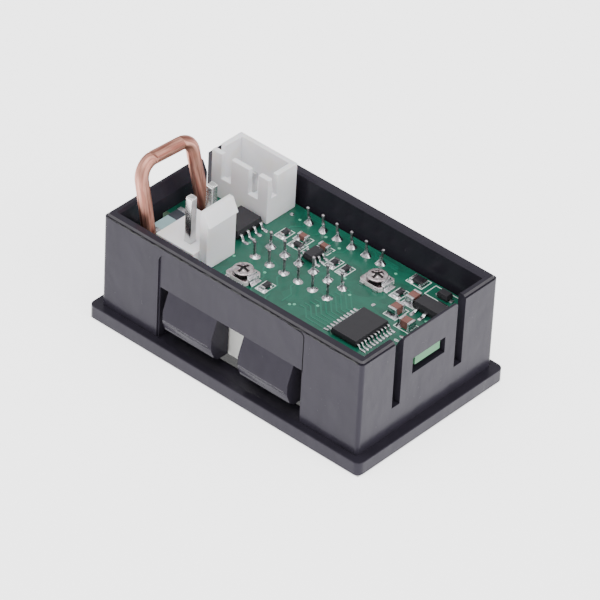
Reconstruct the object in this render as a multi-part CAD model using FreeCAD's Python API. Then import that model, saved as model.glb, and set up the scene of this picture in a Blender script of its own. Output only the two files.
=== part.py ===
# Digital panel meter for voltage and current, lying on its face with the open back up.
# Millimetres. The origin is the centre of the bezel's front face, which lies on the surface.
# +X runs along the long side towards the microcontroller, +Y across, +Z up out of the open back.
import FreeCAD
import Part
import math
import os

# Body: its end walls, its long walls below and above the board that they seat, and its rim
body_corner_radius = 0.55
wall = 1.3
seat_wall = 2.6
side_wall = 1.7
wall_above_board = 4.65
rim_step_drop = 0.4
rim_step_inset = 0.2
rim_outer_chamfer = 0.25
rim_inner_chamfer = 0.3

# Bezel: a flange that stands out all round the body
bezel_overlap_ends = 1.37
bezel_overlap_sides = 1.15
bezel_thickness = 2.2
bezel_corner_radius = 1.0
bezel_front_chamfer = 0.2
bezel_back_chamfer = 0.1

# Long sides: a shallow sunk panel, a window in it and two snap tabs that hang in the window
panel_half_length = 12.75
panel_depth = 0.25
panel_top_gap = 1.2
panel_corner_radius = 1.3
window_edge_margin = 0.25
window_floor_drop = 0.1
seat_ledge = 0.65
tab_length = 8.7
tab_spacing = 13.4
tab_bottom_gap = 1.55
tab_bottom_in = 0.8
tab_low_rise = 0.75
tab_low_out = 0.2
tab_crest_rise = 2.2
tab_crest_out = 1.1
tab_ridges = 3
tab_ridge_depth = 0.15
tab_crest_round = 0.25
tab_side_chamfer = 0.35

# Short ends: a springy tongue between two slots, with a window that catches the board
tongue_half_width = 5.35
slot_width = 1.55
slot_depth = 10.8
tongue_below_rim = 0.25
tongue_top_thickness = 0.35
tongue_lead_height = 1.9
tongue_corner_round = 0.5
catch_half_width = 3.2
catch_below_board = 0.95
catch_above_board = 0.05

# Front window and its smoked filter, which lies on the lip
front_window_length = 36.0
front_window_width = 19.6
front_window_corner = 0.8
front_window_bevel = 0.5
front_lip = 1.2
filter_overlap = 1.0
filter_thickness = 0.9
filter_clearance = 0.1

# Circuit board, caught at its end tabs and resting on the thick part of the long walls
board_thickness = 1.5
board_end_clearance = 0.83
board_side_clearance = 0.6
board_corner_radius = 0.6
board_tab_half_width = 2.45
board_tab_short_of_face = 0.25

# Three-digit LED displays, side by side behind the filter, hanging from the board by their pins
display_length = 22.5
display_width = 10.2
display_gap = 0.42
display_height = 8.0
display_front_gap = 1.0
display_side_clearance = 0.34
display_end_space = 10.18
display_edge_chamfer = 0.3
display_pin_pitch = 2.54
display_pin_count = 6
display_row_spacing = 7.62
display_pin_radius = 0.2
display_pin_above_board = 2.57
near_row_above_board = 1.5
display_hole_clearance = 0.15
solder_height = 0.8
solder_foot_radius = 0.65
solder_neck_radius = 0.28
solder_bore_clearance = 0.02

# Thin round wires, and the holes and solder round them, are drawn with this many sides
wire_sides = 8

# Digits on each display, unlit
digit_count = 3
digit_height = 7.0
digit_width = 3.9
digit_pitch = 7.3
digit_slant_deg = 9.0
segment_width = 0.85
segment_gap = 0.12
segment_depth = 0.3
point_radius = 0.5
point_gap = 0.7

# Copper current shunt, one bent wire that leans towards the near end of the board
shunt_wire_radius = 0.95
shunt_from_end = 2.6
shunt_from_side = 1.65
shunt_foot_spacing = 10.4
shunt_rise = 11.4
shunt_knee_above_solder = 0.4
shunt_near_lean = 2.35
shunt_far_lean = 1.9
shunt_near_shoulder_in = 0.4
shunt_far_shoulder_in = 0.85
shunt_near_bend = 2.5
shunt_far_bend = 2.0
shunt_foot_bend = 3.0
shunt_tail = 1.2
shunt_hole_clearance = 0.1
shunt_solder_out = 0.2
shunt_solder_neck = 0.06
shunt_solder_height = 0.45

# Shrouded three-way signal header
signal_from_end = 0.8
signal_from_side = 0.605
signal_pitch = 2.5
signal_ways = 3
signal_end_margin = 2.4
signal_depth = 5.75
signal_height = 7.0
signal_wall = 0.8
signal_floor = 1.6
signal_slot_width = 1.6
signal_slot_offset = 2.35
signal_slot_bottom = 3.2
signal_notch_width = 1.0
signal_notch_bottom = 3.9
signal_pin_size = 0.64
signal_pin_top = 4.7
signal_pin_tail = 3.2
signal_pin_tip = 0.3

# Two-way power header with a lock wall
power_from_end = 8.2
power_from_side = 5.3
power_pitch = 3.96
power_ways = 2
power_end_margin = 1.95
power_base_height = 2.65
power_base_rear = 4.35
power_base_front = 2.35
power_lock_thickness = 1.4
power_lock_width = 5.6
power_lock_height = 9.1
power_lock_top_flat = 0.75
power_barb_out = 0.4
power_barb_height = 2.1
power_pin_size = 1.14
power_pin_top = 9.95
power_pin_tail = 3.2
power_pin_tip = 0.6
header_hole_clearance = 0.1

# Trimmers: a base on the board and a rotor with a slotted metal wiper that turns on it
trimmer_length = 3.7
trimmer_width = 3.2
trimmer_base_height = 0.7
trimmer_corner = 0.3
trimmer_well_clearance = 0.2
trimmer_well_depth = 0.3
trimmer_bore_depth = 0.3
rotor_pivot_radius = 0.45
rotor_pivot_clearance = 0.05
rotor_pivot_end_gap = 0.1
rotor_radius = 1.15
rotor_lift = 0.1
rotor_height = 0.6
wiper_radius = 1.37
wiper_thickness = 0.2
wiper_slot_width = 0.42
wiper_slot_length = 1.9
terminal_width = 0.7
terminal_out = 0.3
terminal_height = 0.5
terminal_spacing = 2.3
strap_width = 1.9
strap_thickness = 0.14
strap_wiper_clearance = 0.12
strap_foot_reach = 0.6

# Regulator: a moulded block with three flat leads on its near side and a tab on its far side
regulator_length = 4.5
regulator_width = 2.5
regulator_height = 1.5
regulator_lead_pitch = 1.5
regulator_lead_count = 3
regulator_lead_width = 0.45
regulator_lead_reach = 0.95
regulator_tab_width = 1.7
regulator_tab_reach = 0.8
regulator_lead_thickness = 0.4

# Protection diode, with a flat lead at each end
diode_length = 1.8
diode_width = 1.3
diode_height = 1.0
diode_lead_reach = 0.5
diode_lead_width = 0.6
diode_lead_thickness = 0.2

# Chip parts: length, width and height of each kind, and how far the metal ends reach
chip_sizes = {
    "small resistor": (1.6, 0.8, 0.45),
    "large resistor": (2.0, 1.25, 0.5),
    "power resistor": (6.4, 3.2, 0.55),
    "small capacitor": (1.6, 0.8, 0.8),
    "large capacitor": (2.0, 1.25, 1.2),
}
chip_end_share = 0.2
power_resistor_end_share = 0.12
chip_end_proud = 0.04

# Common to the moulded chips: draft of the mould, and the bends of the leads as shares of reach
chip_draft = 0.12
lead_knee_share = 0.3
lead_foot_share = 0.55
lead_root = 0.2

# Moulded chips: length along Y, width along X, height over the standoff, and the bent leads on
# both X sides
micro = {
    "length": 6.5,
    "width": 4.4,
    "height": 0.95,
    "standoff": 0.1,
    "leads a side": 10,
    "pitch": 0.65,
    "reach": 1.0,
    "lead width": 0.26,
    "lead thickness": 0.14,
}
amplifier = {
    "length": 4.9,
    "width": 3.9,
    "height": 1.4,
    "standoff": 0.12,
    "leads a side": 4,
    "pitch": 1.27,
    "reach": 1.05,
    "lead width": 0.42,
    "lead thickness": 0.2,
}
reference = {
    "length": 2.5,
    "width": 1.6,
    "height": 1.05,
    "standoff": 0.1,
    "leads a side": 3,
    "pitch": 0.85,
    "reach": 0.65,
    "lead width": 0.34,
    "lead thickness": 0.14,
}

# Places of the larger parts: in from the board's ends and sides, or from a display's middle
micro_from_end = 6.67
micro_y = -3.66
amplifier_from_end = 8.4
amplifier_y = 1.7
reference_x = -0.75
reference_off_middle = -1.56
regulator_from_end = 2.65
regulator_from_side = 5.05
diode_from_end = 3.35
diode_from_side = 1.65
power_resistor_past_shunt = 0.7
power_resistor_off_middle = 0.1
current_trimmer_x = -4.56
current_trimmer_off_middle = -0.52
voltage_trimmer_from_end = 11.86
voltage_trimmer_off_middle = 0.37

# Places of the chip parts: kind, x, y and the axis that the part lies along
parts_at_voltage_display = [
    ("small resistor", -6.95, -0.38, "Y"),
    ("small resistor", -4.0, -1.04, "X"),
    ("small resistor", 2.0, -0.59, "Y"),
    ("small resistor", 4.07, -0.68, "Y"),
    ("small capacitor", -4.38, 0.5, "X"),
    ("small capacitor", -0.97, 0.86, "X"),
]
parts_at_current_display = [("small resistor", -0.89, -0.16, "Y")]
parts_in_from_end = [
    ("small resistor", 8.15, 5.84, "Y"),
    ("large capacitor", 5.82, 6.03, "Y"),
    ("large capacitor", 5.85, 2.59, "Y"),
    ("large capacitor", 2.92, 1.31, "X"),
]
parts_in_from_far_corner = [("large resistor", 8.1, 1.35, "X")]

# Heights, from the bezel's front face up through the filter, the displays and the board
display_face_z = front_lip + filter_thickness + display_front_gap
board_bottom_z = display_face_z + display_height
board_top_z = board_bottom_z + board_thickness
rim_z = board_top_z + wall_above_board
tongue_top_z = rim_z - tongue_below_rim
window_top_z = board_bottom_z - seat_ledge
tab_bottom_z = bezel_thickness + tab_bottom_gap
tab_low_z = tab_bottom_z + tab_low_rise
tab_crest_z = tab_low_z + tab_crest_rise
slot_bottom_z = rim_z - slot_depth

# Plan sizes: the body closes round the two displays, and the board and the bezel follow the body
display_offset = (display_width + display_gap) / 2
seat_y = display_offset + display_width / 2 + display_side_clearance
body_width = 2 * (seat_y + seat_wall)
inner_y = body_width / 2 - side_wall
inner_x = display_length / 2 + display_end_space
body_length = 2 * (inner_x + wall)
bezel_length = body_length + 2 * bezel_overlap_ends
bezel_width = body_width + 2 * bezel_overlap_sides
board_end_x = inner_x - board_end_clearance
board_side_y = inner_y - board_side_clearance

# Places on the board
signal_length = (signal_ways - 1) * signal_pitch + 2 * signal_end_margin
signal_x = -board_end_x + signal_from_end + signal_length / 2
signal_y = board_side_y - signal_from_side - signal_depth / 2
power_width = (power_ways - 1) * power_pitch + 2 * power_end_margin
power_pin_x = -board_end_x + power_from_end
power_y = -board_side_y + power_from_side
shunt_foot_x = -board_end_x + shunt_from_end
shunt_near_y = -board_side_y + shunt_from_side
shunt_far_y = shunt_near_y + shunt_foot_spacing
power_resistor_x = shunt_foot_x - power_resistor_past_shunt
power_resistor_y = (shunt_near_y + shunt_far_y) / 2 + power_resistor_off_middle
micro_centre = (board_end_x - micro_from_end, micro_y)
amplifier_centre = (-board_end_x + amplifier_from_end, amplifier_y)
reference_centre = (reference_x, display_offset + reference_off_middle)
regulator_centre = (board_end_x - regulator_from_end, board_side_y - regulator_from_side)
diode_centre = (board_end_x - diode_from_end, board_side_y - diode_from_side)
current_trimmer_centre = (current_trimmer_x, -display_offset + current_trimmer_off_middle)
voltage_trimmer_centre = (board_end_x - voltage_trimmer_from_end, display_offset + voltage_trimmer_off_middle)


def vec(x, y, z):
    return FreeCAD.Vector(x, y, z)


def block(x0, x1, y0, y1, z0, z1):
    """A box between two corners."""
    return Part.makeBox(x1 - x0, y1 - y0, z1 - z0, vec(x0, y0, z0))


def centred_block(centre, length, width, z0, height):
    """A box centred on a point in plan, length along X and width along Y, standing on z0."""
    x, y = centre
    return Part.makeBox(length, width, height, vec(x - length / 2, y - width / 2, z0))


def rod(x, y, z0, z1, radius):
    """An upright round bar."""
    return Part.makeCylinder(radius, z1 - z0, vec(x, y, z0))


def prism(points, direction):
    """A closed outline of points swept along a direction."""
    return flat_face(points).extrude(direction)


def flat_face(points):
    """A flat face inside a closed outline of points."""
    return Part.Face(Part.makePolygon(points + [points[0]]))


def taper(low, high):
    """A tapered solid between two outlines whose matching sides are parallel."""
    faces = [flat_face(low), flat_face(high)]
    faces += [flat_face([low[i - 1], low[i], high[i], high[i - 1]]) for i in range(len(low))]
    return Part.makeSolid(Part.makeShell(faces))


def rectangle(centre, size, z):
    """The corner points of a rectangle centred on a point in plan."""
    x, y = centre
    half_x, half_y = size[0] / 2, size[1] / 2
    corners = [(-half_x, -half_y), (half_x, -half_y), (half_x, half_y), (-half_x, half_y)]
    return [vec(x + dx, y + dy, z) for dx, dy in corners]


def frustum(centre, base_size, z0, top_size, z1):
    """A tapered block between two rectangles on one upright axis."""
    return taper(rectangle(centre, base_size, z0), rectangle(centre, top_size, z1))


def sided_ring(x, y, z, radius):
    """The corner points of a regular outline whose flats lie at a radius."""
    turn = 2 * math.pi / wire_sides
    reach = radius / math.cos(turn / 2)
    angles = [(i + 0.5) * turn for i in range(wire_sides)]
    return [vec(x + reach * math.cos(a), y + reach * math.sin(a), z) for a in angles]


def sided_rod(x, y, z0, z1, radius):
    """An upright bar with flat sides at a radius."""
    return prism(sided_ring(x, y, z0, radius), vec(0, 0, z1 - z0))


def rounded_plate(length, width, radius, z0, z1):
    """A plate centred on the axis, with its upright corners rounded."""
    plate = block(-length / 2, length / 2, -width / 2, width / 2, z0, z1)
    upright = [e for e in plate.Edges if e.BoundBox.ZLength > (z1 - z0) / 2]
    return plate.makeFillet(radius, upright)


def edges_at_z(shape, z):
    """The edges that lie wholly at one height."""
    return [e for e in shape.Edges if abs(e.BoundBox.ZMin - z) < 1e-4 and abs(e.BoundBox.ZMax - z) < 1e-4]


def fused(shapes):
    """One solid from shapes that overlap or share faces."""
    return shapes[0].fuse(shapes[1:]).removeSplitter()


def row(count, pitch):
    """Positions of a centred row."""
    return [(i - (count - 1) / 2) * pitch for i in range(count)]


def end_copy(shape):
    """The same shape turned half a turn about the upright axis."""
    return shape.rotated(vec(0, 0, 0), vec(0, 0, 1), 180)


def write(name, shape):
    """Saves one sub-part as a STEP file named after its node."""
    shape.exportStep("parts/" + name + ".step")
    print(name, len(shape.Solids), "solids", round(shape.Volume, 3), "mm3")


def bezel():
    """The front flange, chamfered at the front and, less, at the back."""
    plate = rounded_plate(bezel_length, bezel_width, bezel_corner_radius, 0, bezel_thickness)
    plate = plate.makeChamfer(bezel_front_chamfer, edges_at_z(plate, 0))
    return plate.makeChamfer(bezel_back_chamfer, edges_at_z(plate, bezel_thickness))


def body_walls():
    """The open box behind the bezel, with its seat for the board and its stepped rim."""
    step_z = rim_z - rim_step_drop
    foot_z = bezel_thickness / 2
    lower = rounded_plate(body_length, body_width, body_corner_radius, foot_z, step_z)
    rim_length = body_length - 2 * rim_step_inset
    rim_width = body_width - 2 * rim_step_inset
    upper = rounded_plate(rim_length, rim_width, body_corner_radius, foot_z, rim_z)
    upper = upper.makeChamfer(rim_outer_chamfer, edges_at_z(upper, rim_z))
    above_board = block(-inner_x, inner_x, -inner_y, inner_y, board_bottom_z, rim_z)
    below_board = block(-inner_x, inner_x, -seat_y, seat_y, bezel_thickness, rim_z)
    mouth = frustum(
        (0, 0),
        (2 * inner_x, 2 * inner_y),
        rim_z - rim_inner_chamfer,
        (2 * inner_x + 2 * rim_inner_chamfer, 2 * inner_y + 2 * rim_inner_chamfer),
        rim_z,
    )
    return lower.fuse(upper).cut([above_board, below_board, mouth])


def side_panel():
    """The cutter for the sunk panel on the near long side, rounded at its top corners."""
    face_y = -body_width / 2
    top_z = rim_z - panel_top_gap
    panel = block(
        -panel_half_length, panel_half_length, face_y - 1, face_y + panel_depth, bezel_thickness, top_z
    )
    corners = [e for e in panel.Edges if e.BoundBox.YLength > panel_depth and e.BoundBox.ZMin > top_z - 1e-4]
    corners = [e for e in corners if e.BoundBox.XLength < 1e-4]
    return panel.makeFillet(panel_corner_radius, corners)


def side_window():
    """The cutter for the window under the panel on the near long side."""
    half = panel_half_length - window_edge_margin
    face_y = -body_width / 2
    floor_z = bezel_thickness - window_floor_drop
    return block(-half, half, face_y, face_y + seat_wall + 1, floor_z, window_top_z)


def snap_tab(x):
    """A wedge that hangs in the near window: sloped face, rounded crest and ridged underside."""
    face_y = -body_width / 2
    inner = face_y + seat_wall
    outline = [(inner, window_top_z), (face_y + panel_depth, window_top_z)]
    crest = (face_y - tab_crest_out, tab_crest_z)
    outline.append(crest)
    low = (face_y - tab_low_out, tab_low_z)
    step_y = (low[0] - crest[0]) / (tab_ridges + 1)
    step_z = (low[1] - crest[1]) / (tab_ridges + 1)
    for i in range(1, tab_ridges + 1):
        y = crest[0] + i * step_y
        z = crest[1] + i * step_z
        outline.append((y, z))
        outline.append((y + tab_ridge_depth, z))
    outline.append(low)
    outline.append((face_y + tab_bottom_in, tab_bottom_z))
    outline.append((inner, tab_bottom_z))
    points = [vec(x - tab_length / 2, y, z) for y, z in outline]
    tab = prism(points, vec(tab_length, 0, 0))
    long_edges = [e for e in tab.Edges if e.BoundBox.XLength > tab_length / 2]
    crest_edges = [e for e in long_edges if abs(e.BoundBox.Center.y - crest[0]) < 1e-3]
    tab = tab.makeFillet(tab_crest_round, crest_edges)
    bevels = []
    for side in (-1, 1):
        edge_x = x + side * tab_length / 2
        depth = face_y - crest[0]
        corner = [
            vec(edge_x, crest[0] + tab_side_chamfer, tab_bottom_z),
            vec(edge_x - side * tab_side_chamfer, crest[0], tab_bottom_z),
            vec(edge_x + side * depth, crest[0] - depth, tab_bottom_z),
        ]
        bevels.append(prism(corner, vec(0, 0, window_top_z - tab_bottom_z)))
    return tab.cut(bevels)


def end_opening():
    """The cutter that frees the tongue on the +X end: both slots and what lies between them."""
    half = tongue_half_width + slot_width
    return block(inner_x - 1, body_length / 2 + 1, -half, half, slot_bottom_z, rim_z + 1)


def tongue():
    """The springy tongue on the +X end, with its lead-in and the window that catches the board."""
    outer = body_length / 2
    top_z = tongue_top_z
    plate = block(inner_x, outer, -tongue_half_width, tongue_half_width, slot_bottom_z, top_z)
    top_corners = [e for e in plate.Edges if e.BoundBox.XLength > wall / 2 and e.BoundBox.ZMin > top_z - 1e-4]
    plate = plate.makeFillet(tongue_corner_round, top_corners)
    lead_in = prism(
        [
            vec(inner_x, -tongue_half_width, top_z - tongue_lead_height),
            vec(inner_x, -tongue_half_width, top_z),
            vec(outer - tongue_top_thickness, -tongue_half_width, top_z),
        ],
        vec(0, 2 * tongue_half_width, 0),
    )
    catch = block(
        inner_x - 1,
        outer + 1,
        -catch_half_width,
        catch_half_width,
        board_bottom_z - catch_below_board,
        board_top_z + catch_above_board,
    )
    return plate.cut([lead_in, catch])


def front_opening():
    """The cutters for the front window: the opening, its bevel and the rabbet for the filter."""
    opening = rounded_plate(front_window_length, front_window_width, front_window_corner, 0, bezel_thickness)
    bevel = frustum(
        (0, 0),
        (front_window_length + 2 * front_window_bevel, front_window_width + 2 * front_window_bevel),
        0,
        (front_window_length, front_window_width),
        front_window_bevel,
    )
    rabbet = block(
        -front_window_length / 2 - filter_overlap,
        front_window_length / 2 + filter_overlap,
        -front_window_width / 2 - filter_overlap,
        front_window_width / 2 + filter_overlap,
        front_lip,
        bezel_thickness,
    )
    return [opening, bevel, rabbet]


def housing():
    """The one-piece moulded housing: bezel, walls, snap tabs and end tongues."""
    shell = bezel().fuse(body_walls())
    cutters = front_opening()
    cutters += [side_panel(), end_copy(side_panel()), side_window(), end_copy(side_window())]
    cutters += [end_opening(), end_copy(end_opening())]
    shell = shell.cut(cutters)
    additions = [tongue(), end_copy(tongue())]
    for x in row(2, tab_spacing):
        additions += [snap_tab(x), end_copy(snap_tab(x))]
    return fused([shell] + additions)


def display_filter():
    """The smoked window that lies on the lip behind the front opening."""
    margin = filter_overlap - filter_clearance
    return centred_block(
        (0, 0),
        front_window_length + 2 * margin,
        front_window_width + 2 * margin,
        front_lip,
        filter_thickness,
    )


def display_pin_places(display_y):
    """Plan positions of one display's two rows of pins."""
    places = []
    for y in row(2, display_row_spacing):
        places += [(x, display_y + y) for x in row(display_pin_count, display_pin_pitch)]
    return places


def header_pin_places():
    """Plan positions and widths of the header pins that pass through the board."""
    places = [(signal_x + x, signal_y, signal_pin_size) for x in row(signal_ways, signal_pitch)]
    places += [(power_pin_x, power_y + y, power_pin_size) for y in row(power_ways, power_pitch)]
    return places


def shunt_feet():
    """Plan positions of the shunt's two feet, the near one first."""
    return [(shunt_foot_x, shunt_near_y), (shunt_foot_x, shunt_far_y)]


def circuit_board():
    """The drilled board, with a tab at each end that reaches into the tongue's window."""
    board = rounded_plate(
        2 * board_end_x, 2 * board_side_y, board_corner_radius, board_bottom_z, board_top_z
    )
    tab_x = body_length / 2 - board_tab_short_of_face
    tabs = block(-tab_x, tab_x, -board_tab_half_width, board_tab_half_width, board_bottom_z, board_top_z)
    drilled = []
    for display_y in (-display_offset, display_offset):
        hole_radius = display_pin_radius + display_hole_clearance
        drilled += [(x, y, hole_radius) for x, y in display_pin_places(display_y)]
    drilled += [(x, y, size / math.sqrt(2) + header_hole_clearance) for x, y, size in header_pin_places()]
    drilled += [(x, y, shunt_wire_radius + shunt_hole_clearance) for x, y in shunt_feet()]
    holes = [sided_rod(x, y, board_bottom_z, board_top_z, radius) for x, y, radius in drilled]
    return board.fuse(tabs).removeSplitter().cut(holes)


def segment_bar(cx, cy, half_length, along_x):
    """The outline of one bar of a digit, pointed at both ends, before the slant."""
    half = segment_width / 2
    shoulder = half_length - half
    outline = [
        (-half_length, 0),
        (-shoulder, -half),
        (shoulder, -half),
        (half_length, 0),
        (shoulder, half),
        (-shoulder, half),
    ]
    if along_x:
        return [(cx + u, cy + v) for u, v in outline]
    return [(cx - v, cy + u) for u, v in outline]


def digit_bars():
    """The outlines of the seven bars of one digit, centred on the digit."""
    across = digit_width - segment_width
    rise = (digit_height - segment_width) / 2
    bars = [segment_bar(0, k * rise, across / 2 - segment_gap, True) for k in (-1, 0, 1)]
    for side in (-1, 1):
        for level in (-1, 1):
            bars.append(segment_bar(side * across / 2, level * rise / 2, rise / 2 - segment_gap, False))
    return bars


def display_segments(display_y):
    """The bars and points of one display, read from the front, with +Y as the top of a digit."""
    slant = math.tan(math.radians(digit_slant_deg))
    lift = vec(0, 0, segment_depth)
    solids = []
    for x in row(digit_count, digit_pitch):
        for outline in digit_bars():
            points = [vec(x + u - v * slant, display_y + v, display_face_z) for u, v in outline]
            solids.append(prism(points, lift))
        point_x = x - digit_width / 2 - point_gap + digit_height / 2 * slant
        point_y = display_y - digit_height / 2 + point_radius
        point_z = display_face_z + segment_depth
        solids.append(sided_rod(point_x, point_y, display_face_z, point_z, point_radius))
    return solids


def display_case(display_y, segments):
    """One display's moulded case, eased round its face, with pockets for the segments."""
    centre = (0, display_y)
    chamfer = display_edge_chamfer
    face_size = (display_length - 2 * chamfer, display_width - 2 * chamfer)
    full_size = (display_length, display_width)
    front = frustum(centre, face_size, display_face_z, full_size, display_face_z + chamfer)
    rest = centred_block(
        centre, display_length, display_width, display_face_z + chamfer, display_height - chamfer
    )
    return fused([front, rest]).cut(segments)


def display_pins(display_y):
    """One display's pins, from its back through the board, clipped shorter in the near row."""
    near_row_y = -display_offset - display_row_spacing / 2
    pins = []
    for x, y in display_pin_places(display_y):
        in_near_row = abs(y - near_row_y) < display_pin_radius
        height = near_row_above_board if in_near_row else display_pin_above_board
        pins.append(sided_rod(x, y, board_bottom_z, board_top_z + height, display_pin_radius))
    return pins


def solder_cone(x, y, pin_radius, foot_radius, neck_radius, height):
    """A cone of solder round a pin that stands out of the board."""
    top_z = board_top_z + height
    cone = taper(sided_ring(x, y, board_top_z, foot_radius), sided_ring(x, y, top_z, neck_radius))
    return cone.cut(sided_rod(x, y, board_top_z, top_z, pin_radius + solder_bore_clearance))


def solder_joints():
    """The solder at every display pin."""
    cones = []
    for display_y in (-display_offset, display_offset):
        for x, y in display_pin_places(display_y):
            cones.append(
                solder_cone(x, y, display_pin_radius, solder_foot_radius, solder_neck_radius, solder_height)
            )
    return Part.makeCompound(cones)


def bent_path(points, radii):
    """Straight runs joined by tangent arcs, one radius for each inner point."""
    edges = []
    start = points[0]
    for before, corner, after, radius in zip(points, points[1:], points[2:], radii):
        into = (corner - before).normalize()
        out = (after - corner).normalize()
        half_turn = into.getAngle(out) / 2
        reach = radius * math.tan(half_turn)
        arc_start = corner - into * reach
        arc_end = corner + out * reach
        inward = (out - into).normalize()
        middle = corner + inward * (radius / math.cos(half_turn) - radius)
        edges.append(Part.LineSegment(start, arc_start).toShape())
        edges.append(Part.Arc(arc_start, middle, arc_end).toShape())
        start = arc_end
    edges.append(Part.LineSegment(start, points[-1]).toShape())
    return Part.Wire(edges)


def copper_shunt():
    """The round copper wire: two feet in the board, two leaning legs and a straight top."""
    (near_x, near_y), (far_x, far_y) = shunt_feet()
    low_z = board_bottom_z - shunt_tail
    knee_z = board_top_z + shunt_solder_height + shunt_knee_above_solder
    top_z = board_top_z + shunt_rise
    points = [
        vec(near_x, near_y, low_z),
        vec(near_x, near_y, knee_z),
        vec(near_x - shunt_near_lean, near_y + shunt_near_shoulder_in, top_z),
        vec(far_x - shunt_far_lean, far_y - shunt_far_shoulder_in, top_z),
        vec(far_x, far_y, knee_z),
        vec(far_x, far_y, low_z),
    ]
    path = bent_path(points, [shunt_foot_bend, shunt_near_bend, shunt_far_bend, shunt_foot_bend])
    section = Part.Wire(Part.makeCircle(shunt_wire_radius, points[0], vec(0, 0, 1)))
    return path.makePipeShell([section], True, False)


def signal_header_pins():
    """The signal header's square pins, tapered at the top."""
    return [
        square_pin(signal_x + x, signal_y, signal_pin_size, signal_pin_tail, signal_pin_top, signal_pin_tip)
        for x in row(signal_ways, signal_pitch)
    ]


def square_pin(x, y, size, tail, top, tip):
    """A square pin through the board, with a tapered tip."""
    shank = centred_block((x, y), size, size, board_top_z - tail, tail + top - tip)
    tip_z = board_top_z + top
    point = frustum((x, y), (size, size), tip_z - tip, (size / 2, size / 2), tip_z)
    return fused([shank, point])


def signal_header_shell(pins):
    """The signal header's shroud: two slots in its near wall and a notch in each end wall."""
    centre = (signal_x, signal_y)
    shell = centred_block(centre, signal_length, signal_depth, board_top_z, signal_height)
    inner_length = signal_length - 2 * signal_wall
    inner_depth = signal_depth - 2 * signal_wall
    signal_front_y = signal_y - signal_depth / 2
    floor_z = board_top_z + signal_floor
    top_z = board_top_z + signal_height
    cutters = [centred_block(centre, inner_length, inner_depth, floor_z, signal_height - signal_floor)]
    for offset in (-signal_slot_offset, signal_slot_offset):
        x = signal_x + offset
        half = signal_slot_width / 2
        slot_z = board_top_z + signal_slot_bottom
        cutters.append(
            block(x - half, x + half, signal_front_y - 1, signal_front_y + signal_wall, slot_z, top_z)
        )
    notch_y = signal_front_y + signal_wall
    cutters.append(
        block(
            signal_x - signal_length / 2 - 1,
            signal_x + signal_length / 2 + 1,
            notch_y,
            notch_y + signal_notch_width,
            board_top_z + signal_notch_bottom,
            top_z,
        )
    )
    return shell.cut(cutters).cut(pins)


def power_header_pins():
    """The power header's thick square pins."""
    return [
        square_pin(power_pin_x, power_y + y, power_pin_size, power_pin_tail, power_pin_top, power_pin_tip)
        for y in row(power_ways, power_pitch)
    ]


def power_header_shell(pins):
    """The power header's base and the lock wall with its barb."""
    rear_x = power_pin_x - power_base_rear
    wall_x = power_pin_x + power_base_front
    face_x = wall_x + power_lock_thickness
    base = block(
        rear_x,
        wall_x,
        power_y - power_width / 2,
        power_y + power_width / 2,
        board_top_z,
        board_top_z + power_base_height,
    )
    top_z = board_top_z + power_lock_height
    barb_z = top_z - power_barb_height
    near_y = power_y - power_lock_width / 2
    profile = [
        vec(wall_x, near_y, board_top_z),
        vec(face_x, near_y, board_top_z),
        vec(face_x, near_y, barb_z),
        vec(face_x + power_barb_out, near_y, barb_z),
        vec(wall_x + power_lock_top_flat, near_y, top_z),
        vec(wall_x, near_y, top_z),
    ]
    lock = prism(profile, vec(0, power_lock_width, 0))
    return fused([base, lock]).cut(pins)


def bent_lead(chip, centre, y, side):
    """One gull-wing lead: out of the chip at mid height, down and flat onto its pad."""
    root_x = chip["width"] / 2 - lead_root
    knee_x = chip["width"] / 2 + lead_knee_share * chip["reach"]
    foot_x = chip["width"] / 2 + lead_foot_share * chip["reach"]
    tip_x = chip["width"] / 2 + chip["reach"]
    thickness = chip["lead thickness"]
    mid_z = board_top_z + chip["standoff"] + (chip["height"] - thickness) / 2
    profile = [
        (root_x, mid_z + thickness),
        (knee_x, mid_z + thickness),
        (foot_x, board_top_z + thickness),
        (tip_x, board_top_z + thickness),
        (tip_x, board_top_z),
        (foot_x - thickness, board_top_z),
        (knee_x - thickness, mid_z),
        (root_x, mid_z),
    ]
    edge_y = centre[1] + y - chip["lead width"] / 2
    points = [vec(centre[0] + side * x, edge_y, z) for x, z in profile]
    return prism(points, vec(0, chip["lead width"], 0))


def chip_leads(chip, centre):
    """All of one chip's leads."""
    leads = []
    for side in (-1, 1):
        leads += [bent_lead(chip, centre, y, side) for y in row(chip["leads a side"], chip["pitch"])]
    return leads


def moulded_block(centre, length_x, length_y, z0, height):
    """A moulded chip body, widest at its parting line and drafted above and below it."""
    middle = (length_x, length_y)
    narrow = (length_x - 2 * chip_draft, length_y - 2 * chip_draft)
    mid_z = z0 + height / 2
    lower = frustum(centre, narrow, z0, middle, mid_z)
    upper = frustum(centre, middle, mid_z, narrow, z0 + height)
    return fused([lower, upper])


def chip_body(chip, centre, leads):
    """One chip's moulded body, with its leads let into its sides."""
    foot_z = board_top_z + chip["standoff"]
    return moulded_block(centre, chip["width"], chip["length"], foot_z, chip["height"]).cut(leads)


def regulator_leads():
    """The regulator's three flat leads and the tab opposite them."""
    x, y = regulator_centre
    near_y = y - regulator_width / 2
    far_y = y + regulator_width / 2
    top_z = board_top_z + regulator_lead_thickness
    leads = []
    for dx in row(regulator_lead_count, regulator_lead_pitch):
        half = regulator_lead_width / 2
        lead_y = near_y - regulator_lead_reach
        leads.append(block(x + dx - half, x + dx + half, lead_y, near_y + lead_root, board_top_z, top_z))
    half = regulator_tab_width / 2
    tab_y = far_y + regulator_tab_reach
    leads.append(block(x - half, x + half, far_y - lead_root, tab_y, board_top_z, top_z))
    return leads


def regulator_body(leads):
    body = moulded_block(
        regulator_centre, regulator_length, regulator_width, board_top_z, regulator_height
    )
    return body.cut(leads)


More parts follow.
